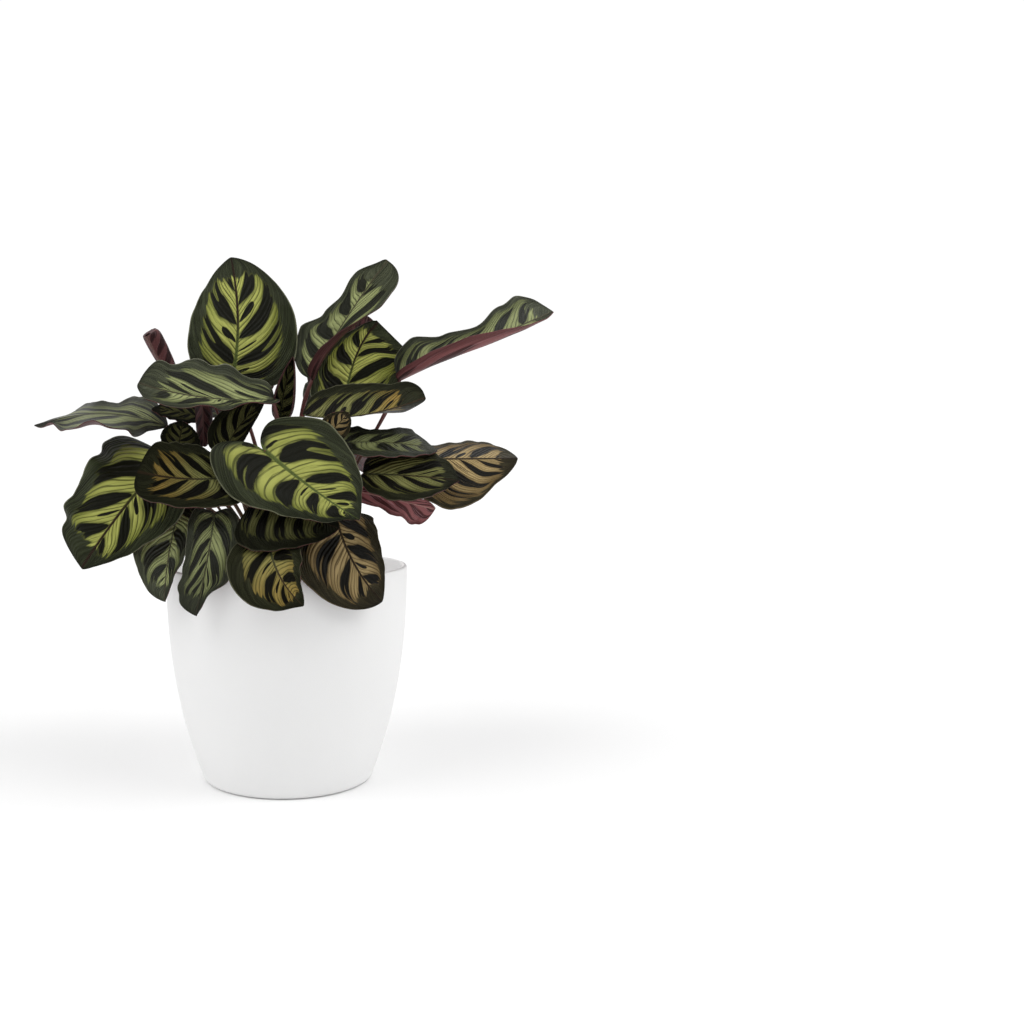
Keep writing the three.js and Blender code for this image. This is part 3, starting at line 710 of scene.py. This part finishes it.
class Pattern:
    """The wires that a leaf's pattern is drawn with: u and v, r from midrib to edge, and the veins' count."""

    def __init__(self, finish, name):
        self.start = finish.start
        self.seed = sum(ord(letter) * place for place, letter in enumerate(name)) % 97
        wrap = self.start.node("ShaderNodeUVMap", {"uv_map": "UVMap"}, {})
        veins = self.start.node("ShaderNodeUVMap", {"uv_map": "veins"}, {})
        self.u = wrap.part(1)
        self.v = wrap.part(0) * 2 - 1
        self.r = abs(self.v)
        self.side = veins.part(1) * HALVES_APART
        self.count = veins.part(0)

    def noise(self, along, across, shift, detail=1.0, roughness=0.5):
        """Noise about 0 that is drawn out along the veins: so many grains per vein, and from midrib to edge."""
        place = {0: self.count * along + self.side, 1: self.r * across, 2: self.seed + shift}
        return self.start.node("ShaderNodeCombineXYZ", {}, place).grain(1.0, detail=detail, roughness=roughness)

    def chance(self, cell, shift):
        place = self.start.node("ShaderNodeCombineXYZ", {}, {0: cell + self.side, 1: self.seed + shift})
        return self.start.node("ShaderNodeTexWhiteNoise", {"noise_dimensions": "2D"}, {0: place}, output=0)

    def lens(self, count, inner, outer, waist):
        """1 inside lens-shaped spots about each whole count, from inner to outer on r, of half width waist."""
        cell = (count + 0.5).floor()
        reach = ((self.r - inner) / (outer - inner)).most(0.0).least(1.0)
        shape = reach**0.5 * (1 - reach) ** 0.4 * 1.87
        return shape * waist - abs(count - cell)

    def rib(self):
        """1 on the midrib, which narrows towards the tip."""
        width_share = (self.u * (1 - self.u) * 4).most(0.02) ** 0.5
        return 1 - (self.r * width_share).rise(0.014, 0.036)


def leaf_finish(name, leaf, colours):
    """The top face: feathered bands between lens-shaped blotches that alternate along the midrib."""
    finish = Finish(name + "_top", roughness=0.45, Specular_IOR_Level=leaf["shine"])
    drawn = Pattern(finish, name)
    u, r = drawn.u, drawn.r
    ragged = drawn.noise(5.0, 6.0, 0, detail=3.0, roughness=0.6)
    count = drawn.count + drawn.noise(0.8, 2.2, 1) * 0.3 + ragged * 0.07
    chance = drawn.chance((count + 0.5).floor(), 3)
    blotch_end = BLOTCH_END + chance * BLOTCH_END_SPREAD
    blotch = drawn.lens(count, MIDRIB_GAP, blotch_end, leaf["plump"] + chance * BLOTCH_SPREAD)
    between = count + 0.5
    small_chance = drawn.chance((between + 0.5).floor(), 5)
    small_waist = (small_chance - SMALL_BLOTCH_RARITY).most(0.0) * SMALL_BLOTCH_PLUMP
    small = drawn.lens(between, MIDRIB_GAP, SMALL_BLOTCH_END, small_waist)
    streak_chance = drawn.chance((count + 0.5).floor(), 9)
    streak = drawn.lens(count, STREAK_START, 1.0, (streak_chance - STREAK_RARITY).most(0.0) * STREAK_PLUMP)
    dark = blotch.rise(-0.02, 0.025).most(small.rise(-0.015, 0.015)) * (1 - streak.rise(0.0, 0.03))

    fingers = drawn.noise(4.5, 1.5, 7, detail=2.0)
    outer = (r + fingers * 0.34 + ragged * 0.06).rise(leaf["margin"], leaf["margin"] + MARGIN_BLUR)
    tipward = (u + fingers * 0.2).rise(TIP_START, TIP_START + 0.03)
    baseward = 1 - (u + fingers * 0.05).rise(0.015, 0.06)
    margin = outer.most(tipward).most(baseward)

    threads = drawn.noise(11.0, 1.6, 11, detail=2.0, roughness=0.6)
    furrows = (drawn.count * FURROWS + drawn.noise(2.0, 2.0, 13) * 1.6).wave()
    line = furrows.rise(0.35, 0.9) * (threads + 0.5).rise(0.3, 0.55)
    grain = drawn.noise(34.0, 12.0, 17, detail=2.0, roughness=0.65)
    fading = (r + drawn.noise(1.5, 1.0, 19) * 0.4).rise(0.3, 0.8)
    band = (fading * 0.9 + grain * 0.4).most(0.0).least(1.0).tint(colours["band"], colours["band_deep"])
    band = (threads.rise(0.0, 0.3) * 0.5).tint(band, colours["band_deep"])
    ripe = (u + drawn.noise(1.0, 1.5, 23) * 0.4).rise(*leaf["ripening"])
    band = (ripe * RIPENESS).tint(band, RIPE_BAND)
    band = (line * 0.8).tint(band, colours["line"])
    band = (blotch.rise(-0.1, -0.01) * 0.55).tint(band, colours["line"])
    border = (grain * 0.8 + fingers * 1.4).rise(-0.3, 0.5).tint(colours["margin"], colours["margin_light"])
    skin = margin.tint(band, border)
    skin = (dark * (1 - outer) * (1 - tipward)).tint(skin, colours["blotch"])
    skin = drawn.rib().tint(skin, u.rise(*leaf["rib_reddens"]).tint(colours["rib"], colours["rib_tip"]))
    skin = (r.rise(EDGE_START, EDGE_START + 0.015) * 0.8).tint(skin, colours["edge"])
    cloud = finish.place.grain(35.0, detail=3.0)
    # Painted light and shade: each leaf's tone darkens or lightens its whole skin, darker for leaves in shade and
    # lighter for well-lit ones.
    painted_light_tone = leaf["painted_light_tone"]
    finish.paint(
        Base_Color=(cloud + 0.5).shade(skin, 0.8 * painted_light_tone, 1.2 * painted_light_tone),
        Roughness=0.45 + cloud * 0.12 + grain * 0.1,
    )
    finish.emboss(threads * 0.8 + furrows * -0.3 + grain * 0.3 + drawn.count.wave() * -0.5, depth=0.0007)
    return finish


def underside_finish(name, leaf):
    """The underside: wine red, with the top's pattern showing through faintly and a paler midrib."""
    finish = Finish(name + "_underside", roughness=0.5, Specular_IOR_Level=0.15)
    drawn = Pattern(finish, name)
    mottle = drawn.noise(6.0, 3.0, 0, detail=3.0)
    spots = drawn.lens(drawn.count + mottle * 0.15, MIDRIB_GAP, 0.75, 0.27).rise(-0.1, 0.06)
    veins = drawn.noise(9.0, 1.2, 5, detail=2.0).rise(0.05, 0.22)
    skin = spots.tint(UNDERSIDE["skin"], UNDERSIDE["dark"])
    skin = (veins * 0.4).tint(skin, UNDERSIDE["vein"])
    skin = (drawn.r.rise(0.75, 0.9) * 0.5).tint(skin, UNDERSIDE["dark"])
    skin = drawn.rib().tint(skin, UNDERSIDE["rib"])
    # Painted light and shade: the leaf's underside_painted_light_tone darkens the underside where it lies in
    # shade and brightens it where it catches the light.
    painted_light_tone = leaf["underside_painted_light_tone"]
    finish.paint(Base_Color=(mottle + 0.5).shade(skin, 0.8 * painted_light_tone, 1.25 * painted_light_tone), Roughness=0.5 + mottle * 0.15)
    finish.emboss(veins + mottle * 0.4, depth=0.00035)
    return finish


red_stalk = Finish("red_brown_stalk", roughness=0.42)
streaks = red_stalk.place.stretch((1.0, 1.0, 0.12)).grain(1400.0, detail=2.0)
patches = red_stalk.place.grain(130.0, detail=3.0)
redness = (red_stalk.place.part(2) + patches * 0.03).rise(0.115, 0.22)
stalk_colour = redness.tint(linear(92, 78, 48), linear(92, 46, 42))
red_stalk.paint(Base_Color=(streaks + 0.5).shade(stalk_colour, 0.7, 1.35), Roughness=0.42 + patches * 0.25)
red_stalk.emboss(streaks, depth=0.0002)


def grow(leaf, colours):
    """Makes one leaf: its blade with both faces, and its stalk as a piece of its own or joined to the blade."""
    leaf = {**PLAIN_LEAF, **leaf}
    name = leaf["name"]
    blade = blade_mesh(leaf, [leaf_finish(name, leaf, colours), underside_finish(name, leaf)])
    blade.name = "blade_" + name
    stalk = stalk_mesh(leaf)
    stalk.data.materials.append(red_stalk.material)
    if leaf["joined"]:
        bpy.ops.object.select_all(action="DESELECT")
        stalk.select_set(True)
        blade.select_set(True)
        bpy.context.view_layer.objects.active = blade
        bpy.ops.object.join()
    else:
        stalk.name = "stalk_" + name
        settle(stalk, "stem_" + name)
    settle(blade, "leaf_" + name)


def paints(**colours):
    return {name: linear(*colour) for name, colour in colours.items()}


RIPE_BAND = linear(164, 132, 66)
UNDERSIDE = paints(
    skin=(112, 68, 68),
    dark=(58, 29, 29),
    vein=(178, 136, 142),
    rib=(128, 96, 90),
)
LIME_COLOURS = paints(
    band=(180, 184, 97),
    band_deep=(116, 122, 50),
    line=(62, 66, 30),
    blotch=(19, 20, 9),
    margin=(37, 41, 24),
    margin_light=(68, 74, 50),
    rib=(92, 104, 52),
    rib_tip=(48, 34, 24),
    edge=(128, 130, 104),
)

LIME_LEAVES = [
    dict(
        name="upper_left",
        spine=[(-31, 8, 236), (-28, 6, 268), (-32, 14, 304)],
        faces=[(0, -1, 0.15), (0, -1, -0.1)],
        half=(29, 35), lobe=(6, 8), outline=(0.4, 0.72), foot=(-8, 4),
        bend=[(-12, 6, 150), (-38, 8, 190)],
        curl=((-10, -25), (-5, -15)),
        edge=((1.2, 1.03, 1, 1.03, 1.07, 1.2), (1, 1, 1, 1.03, 1.05, 1.2)),
        blotches=((-0.17, 0.1, 0.42, 0.7), (-0.1, 0.08, 0.3, 0.58)), sweep=(0.9, 0.9),
    ),
    dict(
        name="lower_left",
        spine=[(-63.9, -23, 189), (-86.9, -43, 162.1), (-110.8, -41, 128.1)],
        faces=[(-0.35, -0.85, 0.4), (-0.35, -0.9, 0.2)],
        half=(25, 38), lobe=(4, 15), foot=(-14, -6),
        curl=((-15,), (-15,)),
        edge=((1, 1.1, 1.15, 1.15, 1.04, 0.9, 0.65), (1.65, 1.42, 1.05, 1.07, 1.06, 1.42, 2.5)),
        wave=(1, 2.5, 3, 0.1),
        blotches=((-0.1, 0.08, 0.28, 0.48, 0.74), (-0.13, 0.16, 0.4, 0.64)), sweep=(0.6, 0.7),
        painted_light_tone=0.84, shine=0.06,
    ),
    dict(
        name="centre",
        spine=[(-12, -44, 192), (14.9, -68, 171.1), (36.9, -86, 157.2)],
        faces=[(-0.16, -0.75, 0.64)],
        half=(33, 32), lobe=(12, 19), lobe_shape=(0.5, 6), outline=(0.3, 0.85), foot=(0, -13),
        curl=((-10,), (-10, -20)),
        edge=((0.95, 1.2, 1.11, 1.06, 1.02, 1.03, 0.93, 0.9), (0.96, 1, 0.92, 0.75, 0.63, 0.7, 0.35, 0.35)),
        wave=(0.8, 1.6, 3, 0.2),
        blotches=((-0.1, 0.14, 0.38, 0.59), (-0.09, 0.1, 0.34, 0.53)), sweep=(0.5, 0.1),
        plump=0.23, rib_reddens=(1.1, 1.2), painted_light_tone=0.79, shine=0.1,
    ),
    dict(
        name="upper_right",
        spine=[(34, 6, 218), (41, 12, 247), (54, 15, 268)],
        faces=[(0, -1, 0.2)],
        half=(24, 30), lobe=(3, 3), outline=(0.4, 0.75), foot=(10, 1),
        bend=[(18, 10, 160), (32, 12, 195)],
        edge=((1.3, 0.96, 0.8, 0.65, 0.5, 0.5), (1, 1, 1, 1.2, 2.1, 5)),
        blotches=((-0.12, 0.12, 0.38, 0.6), (-0.1, 0.18, 0.46, 0.62)), sweep=(0.3, 1.2),
        margin=0.75, painted_light_tone=1.35,
    ),
]
for lime_leaf in LIME_LEAVES:
    grow(lime_leaf, LIME_COLOURS)

# ---- Grey-green leaves: held edge-on, folded or hanging, their pattern greyed by a partly painted satin sheen. ----
# Three of them curl one edge over, which shows a little of the wine-red underside.

# The sheen is partly the shader's own and partly painted: these colours are a paler, greyer copy of the lime
# ones, with less contrast.
PAINTED_SHEEN_COLOURS = paints(
    band=(155, 162, 108),
    band_deep=(108, 114, 70),
    line=(62, 66, 42),
    blotch=(28, 30, 18),
    margin=(50, 54, 38),
    margin_light=(82, 86, 64),
    rib=(86, 90, 64),
    rib_tip=(78, 74, 56),
    edge=(136, 136, 118),
)
GREY_LEAVES = [
    dict(
        name="shelf_left",
        spine=[(-7, -14, 221), (-45, -26, 221), (-82, -22, 229)],
        faces=[(0, -0.75, 0.65), (-0.1, -0.7, 0.7)],
        half=(22, 27), lobe=(7, 7), outline=(0.45, 0.4), foot=(1, -6),
        bend=[(2, -8, 150), (-2, -10, 195)],
        fold=((30, -8), (8, 17)), curl=((10, 0), (0, 10)),
        edge=((0.75, 0.5, 0.4, 0.5, 0.45, 0.65, 0.4), (0.85, 0.8, 0.83, 0.88, 0.82, 0.8, 1.05)),
        wave=(2.5, 2.4, 3.4, 0.1),
        blotches=((0, 0.28, 0.5, 0.78), (-0.16, 0.26, 0.55, 0.84)), sweep=(0.2, 1.4),
        painted_light_tone=0.98, shine=0.22,
    ),
    dict(
        name="far_left",
        spine=[(-68, -2, 205), (-103, -8, 212.4), (-144, 2, 206)],
        faces=[(0, -0.5, 0.85)],
        half=(20, 22), lobe=(0, 0), outline=(0.7, 0.7), foot=(-14, 0),
        fold=((-95, 2, -90), (27, 0, -28)), curl=((-10, 40, 60), (0, 10)),
        edge=((0.4, 0.3, 1.04, 1.99, 1.78, 1.19, 0.61, 0.57), (1.14, 1.12, 1.01, 0.54, 0.54, 0.94, 1.1, 1.27)),
        wave=(4, 1.5, 2, 0.1),
        blotches=((-0.25, 0.02, 0.32, 0.6), (-0.2, 0.18, 0.5)), sweep=(1.6, 1.7),
        painted_light_tone=0.75, shine=0.6,
    ),
    dict(
        name="drooping_left",
        spine=[(-57, -34, 166), (-63, -46, 140), (-66, -50, 111)],
        faces=[(-0.3, -0.95, 0.1), (-0.3, -0.95, 0)],
        half=(16, 18), lobe=(5, 5), foot=(-16, -11),
        edge=((1.1, 0.97, 0.82, 0.61, 0.4, 0.35), (0.8, 0.97, 1.14, 1.28, 1.3, 1.65)),
        blotches=((0.08, 0.34, 0.62), (-0.05, 0.15, 0.45, 0.65)), sweep=(0.3, 0.5),
        margin=0.74, painted_light_tone=1.13, shine=0.28,
    ),
    dict(
        name="drooping_middle_left",
        spine=[(-39, -48, 159), (-42, -64, 135), (-48, -68, 106)],
        faces=[(-0.1, -0.95, 0.3), (-0.1, -1, 0)],
        half=(17, 20), lobe=(6, 7), foot=(-6, -16),
        edge=((0.88, 0.89, 0.9, 0.9, 0.91, 0.37, 0.33), (0.85, 0.74, 0.65, 0.62, 0.71, 1.04, 1.73)),
        blotches=((-0.16, 0.06, 0.38, 0.68), (-0.2, 0.04, 0.27, 0.49, 0.63)), sweep=(0.9, 0.9),
        painted_light_tone=0.76, shine=0.2,
    ),
    dict(
        name="grey_right",
        spine=[(29, -20, 196), (58, -26, 196), (85, -24, 192)],
        faces=[(0, -0.35, 0.93)],
        half=(24, 22), lobe=(3, 3), foot=(9, -7),
        fold=((11, 12, -6), (0,)),
        edge=((1.1, 0.73, 0.5, 0.62, 0.99, 1.4, 1.5), (1, 1)),
        blotches=((-0.16, 0.06, 0.28, 0.54), (0.08, 0.42, 0.6)), sweep=(0.6, 0.3),
        margin=0.6, painted_light_tone=0.5, shine=0.1,
    ),
    dict(
        name="folded_upper_right",
        spine=[(15, 3, 233), (33, 5, 265.1), (59.1, 5, 302.2)],
        faces=[(-0.3, -0.95, 0.1)],
        half=(20, 20), lobe=(2, 2), outline=(0.4, 0.4), foot=(3, 4),
        bend=[(5, 4, 160), (2, 3, 205)],
        fold=((0,), (60, 30, 0)), curl=((-10,), (90, 60, 10)),
        edge=((1, 1.14, 1.15, 0.69, 0.56, 0.74, 0.35), (0.96, 1.02, 1.09, 1.18, 1.24, 1.15, 1.3)),
        blotches=((0.03, 0.2, 0.36, 0.58, 0.77), (-0.2, 0.05, 0.4, 0.7)), sweep=(0.1, 1.1),
        painted_light_tone=1.08, shine=0.15, underside_painted_light_tone=0.5,
    ),
    dict(
        name="long_far_right",
        spine=[(66, 4, 233), (97, -4, 247), (131, -8, 261.6), (155, -6, 272)],
        faces=[(0, -0.9, 0.4)],
        half=(20, 20), lobe=(3, 3), foot=(15, 3),
        bend=[(20, 6, 165), (53, 2, 195)],
        fold=((-8, -4, -19), (46, 34, 18)), curl=((0,), (110, 90, 40)),
        edge=((1.25, 1.2, 0.72, 0.57, 1.08, 1.72, 2.1), (0.7, 0.81, 1, 1.22, 1.03, 0.77, 0.4)),
        blotches=((-0.06, 0.08, 0.24, 0.39, 0.57, 0.73), (-0.08, 0.16, 0.48)), sweep=(0.2, 0.5),
        margin=0.77, painted_light_tone=1.15, shine=0.35, underside_painted_light_tone=1.2,
    ),
]
for grey_leaf in GREY_LEAVES:
    grow(grey_leaf, PAINTED_SHEEN_COLOURS)

# ---- Green leaves in the shade of the others, and small young ones close to the middle, in painted shade colours. ----
# The smallest have so short a join to their stalk that blade and stalk are one piece.

# A darker copy of the lime colours: painted shade. The half-turned bronze leaf, the wine-red leaves and the upper
# back leaves take it too.
PAINTED_SHADE_COLOURS = paints(
    band=(136, 136, 82),
    band_deep=(94, 94, 50),
    line=(56, 58, 28),
    blotch=(16, 15, 7),
    margin=(34, 35, 20),
    margin_light=(56, 58, 38),
    rib=(76, 80, 54),
    rib_tip=(66, 54, 38),
    edge=(112, 112, 88),
)
SHADE_LEAVES = [
    dict(
        name="drooping_front",
        spine=[(-10, -63, 146), (-4, -85, 129), (8, -90, 114)],
        faces=[(-0.05, -0.85, 0.5), (0, -1, 0.1)],
        half=(15, 25), lobe=(3, 5), foot=(-2, -21),
        edge=((1.12, 1.07, 0.96, 0.75, 0.64, 0.65), (1, 1, 0.99, 0.96, 0.82, 0.4)),
        blotches=((-0.04, 0.28, 0.6), (-0.1, 0.15, 0.41, 0.61)), sweep=(-0.1, 0.8),
        plump=0.18, margin=0.62, ripening=(-0.2, 1.2), painted_light_tone=0.86, shine=0.05,
    ),
    dict(
        name="shaded_front",
        spine=[(-20, -52, 163.2), (2, -62, 160.2), (27, -68, 151.2)],
        faces=[(0, -0.8, 0.6)],
        half=(18, 24), lobe=(3, 5), foot=(4, -19),
        edge=((1, 1), (1.25, 1.2, 1.1, 1.1)),
        joined=True,
        blotches=((-0.02, 0.2, 0.42, 0.64), (0.06, 0.24, 0.44, 0.62)), sweep=(0.3, 0.1),
        painted_light_tone=0.36, shine=0.04,
    ),
    dict(
        name="middle_right",
        spine=[(42, -34, 179), (68, -40, 178), (95, -40, 175)],
        faces=[(0.1, -0.7, 0.7)],
        half=(22, 22), lobe=(3, 3), foot=(12, -12),
        edge=((1, 0.9, 0.85, 0.95, 1.3, 1.8), (0.5, 0.78, 0.9, 0.89, 0.77, 0.4)),
        blotches=((-0.12, 0.33, 0.68), (-0.07, 0.14, 0.41, 0.67)), sweep=(1.3, 0.9),
        painted_light_tone=0.82, shine=0.08,
    ),
    dict(
        name="shelf_right",
        spine=[(8.9, -18, 211.9), (38.7, -24, 210.9), (78.5, -22, 221.4)],
        faces=[(0, -0.8, 0.6)],
        half=(22, 20), lobe=(3, 3), outline=(0.45, 0.38), foot=(6, -4),
        bend=[(6, -4, 160), (2, -10, 196)],
        fold=((13, 13, 45), (-122, -129, -87)), curl=((0,), (-20,)),
        edge=((1.2, 1.05, 0.99, 0.87, 0.74, 0.9), (1.05, 1.24, 1.4, 1.46, 1.25, 0.52)),
        blotches=((0.03, 0.23, 0.44, 0.59, 0.8), (-0.1, 0.15, 0.4, 0.65)), sweep=(0.5, 0.5),
        ripening=(0.55, 0.85),
    ),
    dict(
        name="young_left",
        spine=[(-62, -10, 191), (-60, -13, 200), (-58, -15, 208)],
        faces=[(0, -1, 0.3)],
        half=(11, 12), lobe=(0, 0), foot=(-18, -5),
        bend=[(-23, -5, 150), (-56, -5, 175)],
        joined=True,
        painted_light_tone=0.4, shine=0.05,
    ),
    dict(
        name="shaded_centre",
        spine=[(-34, -20, 190.5), (-27.5, -14, 204.5), (-12.6, -2, 220.4)],
        faces=[(0.2, -0.9, 0.1)],
        half=(14, 7), lobe=(2, 2), foot=(-4, -6),
        joined=True,
        painted_light_tone=0.48, shine=0.05,
    ),
    dict(
        name="young_upper_left",
        spine=[(-50, 2, 211), (-63, -1, 214), (-77, -3, 215)],
        faces=[(0, -0.7, 0.7)],
        half=(8, 8), lobe=(0, 0), foot=(-14, 9),
        bend=[(-20, 13, 155), (-40, 14, 203)],
        joined=True,
        painted_light_tone=0.45, shine=0.05,
    ),
]
for shade_leaf in SHADE_LEAVES:
    grow(shade_leaf, PAINTED_SHADE_COLOURS)

# ---- Bronze leaves: the older ones, whose bands have turned tan and whose margins are brown-green. ----
# One in the shade has turned only towards its tip.

BRONZE_COLOURS = paints(
    band=(172, 150, 104),
    band_deep=(116, 96, 58),
    line=(70, 54, 28),
    blotch=(15, 13, 6),
    margin=(38, 33, 16),
    margin_light=(66, 60, 38),
    rib=(56, 44, 26),
    rib_tip=(46, 34, 20),
    edge=(104, 94, 66),
)
BRONZE_LEAVES = [
    dict(
        name="drooping_right",
        spine=[(26.1, -44, 158.9), (34.1, -64, 134.8), (50.2, -64, 111.7)],
        faces=[(0.25, -0.9, 0.3), (0.25, -0.95, 0.1)],
        half=(20, 29), lobe=(3, 4), foot=(9, -17),
        edge=((1.7, 1.12, 0.95, 0.91, 0.96, 0.87), (1, 1.05, 1.1, 1.04, 1.03, 1.04)),
        blotches=((0.08, 0.36, 0.68), (0, 0.22, 0.46, 0.65, 0.78)), sweep=(0.5, 0.8),
        painted_light_tone=0.8,
    ),
    dict(
        name="bronze_far_right",
        spine=[(72, -12, 187), (102, -18, 187), (132, -20, 187)],
        faces=[(0, -0.85, 0.5)],
        half=(26, 29), lobe=(3, 3), foot=(16, -4),
        fold=((-35,), (0,)),
        edge=((0.75, 0.73, 0.82, 1.02, 1.15, 1.3), (0.94, 1.03, 1.14, 1.08, 0.85, 0.8)),
        blotches=((0, 0.26, 0.54, 0.78), (0.02, 0.22, 0.41, 0.58, 0.74)), sweep=(0.5, 1),
        margin=0.84, painted_light_tone=1.24, shine=0.2,
    ),
    dict(
        name="young_bronze",
        spine=[(20, -30, 199), (28, -33, 206), (34, -33, 213)],
        faces=[(0.2, -0.9, 0.2)],
        half=(8, 8), lobe=(0, 0), foot=(7, -12),
        joined=True,
        painted_light_tone=1.12,
    ),
]
for bronze_leaf in BRONZE_LEAVES:
    grow(bronze_leaf, BRONZE_COLOURS)

half_turned_leaf = dict(
    name="bronze_left",
    spine=[(-26, -33, 178), (-51.9, -51, 177), (-78.9, -55, 181)],
    faces=[(-0.1, -0.75, 0.65), (-0.3, -0.75, 0.6)],
    half=(24, 23), outline=(0.45, 0.4), foot=(-9, -12),
    edge=((1.1, 1, 0.85, 0.8, 1), (1.5, 1.4, 1.15, 1.1, 1.5)),
    blotches=((0.1, 0.3, 0.5, 0.66, 0.8), (0.05, 0.25, 0.45, 0.62, 0.78)),
    ripening=(0.3, 0.9), painted_light_tone=0.6, shine=0.03,
)
# Its colours are the painted shade ones, with tan bands towards the tip.
grow(half_turned_leaf, PAINTED_SHADE_COLOURS)

# ---- Wine-red leaves: three still rolled or curled, and one turned over, so that their underside shows. ----
# A young blade is a sheet rolled towards its top face, which leaves the wine-red side outside.

WINE_LEAVES = [
    dict(
        name="rolled_left",
        spine=[(-62, 24, 223), (-73.5, 26, 241.5), (-82.5, 22, 258.5)],
        faces=[(0.3, 0.9, 0.3)],
        half=(20, 20), lobe=(0, 0), outline=(0.55, 0.1), foot=(-9, 9),
        bend=[(-14, 12, 165), (-44, 20, 200)],
        fold=((20,), (20,)), curl=((150,), (150,)),
        joined=True,
        underside_painted_light_tone=0.66,
    ),
    dict(
        name="turned_right",
        spine=[(36.1, -10, 169.8), (62.8, -14, 163.6), (85.3, -14, 158)],
        faces=[(0, 0.8, 0.6)],
        half=(15, 8), lobe=(3, 3), foot=(17, -9),
        edge=((0.75, 0.7, 0.69, 0.8, 1.78, 2.69), (1, 1)),
        wave=(2, 2, 2, 0.3), joined=True,
        underside_painted_light_tone=1.75,
    ),
    dict(
        name="bud_centre",
        spine=[(-4, -2, 210), (-1, -4, 227), (4, -6, 245.2)],
        faces=[(0, -1, 0)],
        half=(11, 15), lobe=(0, 0), outline=(0.3, 0.8), foot=(-2, -1),
        curl=((120,), (120,)),
        joined=True,
        painted_light_tone=0.45, shine=0.1, underside_painted_light_tone=0.45,
    ),
    dict(
        name="curled_left",
        spine=[(-49.3, -4, 226.2), (-47.3, -10, 210.1), (-47.3, -13, 194)],
        faces=[(0, 1, 0.3)],
        half=(10, 10), lobe=(0, 0), outline=(0.2, 0.35), foot=(-13, 5),
        bend=[(-20, 5, 175), (-54, 2, 252)],
        curl=((120,), (120,)),
        joined=True,
        painted_light_tone=0.5, shine=0.08, underside_painted_light_tone=0.35,
    ),
]
# Their top faces take the painted shade colours.
for wine_leaf in WINE_LEAVES:
    grow(wine_leaf, PAINTED_SHADE_COLOURS)

# ---- Leaves of the back: seven healthy ones like those of the front, facing backwards and up. ----
# Their stalks rise from the back of the clump, and the lower three lean out over the pot's rim.

BACK_UPPER_LEAVES = [
    dict(
        name="back_upper_left",
        spine=[(-28, 32, 222), (-34, 52, 256), (-38, 62, 290)],
        faces=[(-0.1, 0.9, 0.35)],
        half=(26, 26), foot=(-4, 12),
        underside_painted_light_tone=0.45,
    ),
    dict(
        name="back_upper_right",
        spine=[(30, 34, 220), (42, 56, 248), (52, 66, 276)],
        faces=[(0.1, 0.9, 0.35)],
        half=(26, 26), foot=(6, 11),
        underside_painted_light_tone=0.4,
    ),
    dict(
        name="back_left",
        spine=[(-34, 38, 214), (-46, 72, 228), (-54, 104, 226)],
        faces=[(-0.1, -0.3, 0.9), (-0.1, 0.2, 0.95)],
        half=(24, 24), foot=(-8, 17),
        underside_painted_light_tone=0.5,
    ),
    dict(
        name="back_right",
        spine=[(28.1, 41, 215.1), (38.2, 73, 234.1), (44.2, 103, 238.1)],
        faces=[(0.1, -0.3, 0.9), (0.1, 0.2, 0.95)],
        half=(24, 24), foot=(9, 16),
        underside_painted_light_tone=0.5,
    ),
]
BACK_LOWER_LEAVES = [
    dict(
        name="back_lower_left",
        spine=[(-50, 35, 185), (-80, 58, 172), (-104, 72, 142)],
        faces=[(-0.5, 0.6, 0.6)],
        half=(30, 30), foot=(-15, 14),
        underside_painted_light_tone=0.5,
    ),
    dict(
        name="back_lower_right",
        spine=[(45, 38, 190), (75, 60, 182), (102, 72, 165)],
        faces=[(0.4, 0.6, 0.7)],
        half=(30, 30), foot=(15, 10),
        underside_painted_light_tone=0.5,
    ),
    dict(
        name="back_low",
        spine=[(0, 48, 170), (4, 78, 160), (6, 98, 128)],
        faces=[(0, 0.7, 0.7)],
        half=(32, 32), foot=(1, 20),
        underside_painted_light_tone=0.5,
    ),
]
# The upper four take the painted shade colours, and the lower three the lime ones.
for back_leaf in BACK_UPPER_LEAVES:
    grow(back_leaf, PAINTED_SHADE_COLOURS)
for back_leaf in BACK_LOWER_LEAVES:
    grow(back_leaf, LIME_COLOURS)
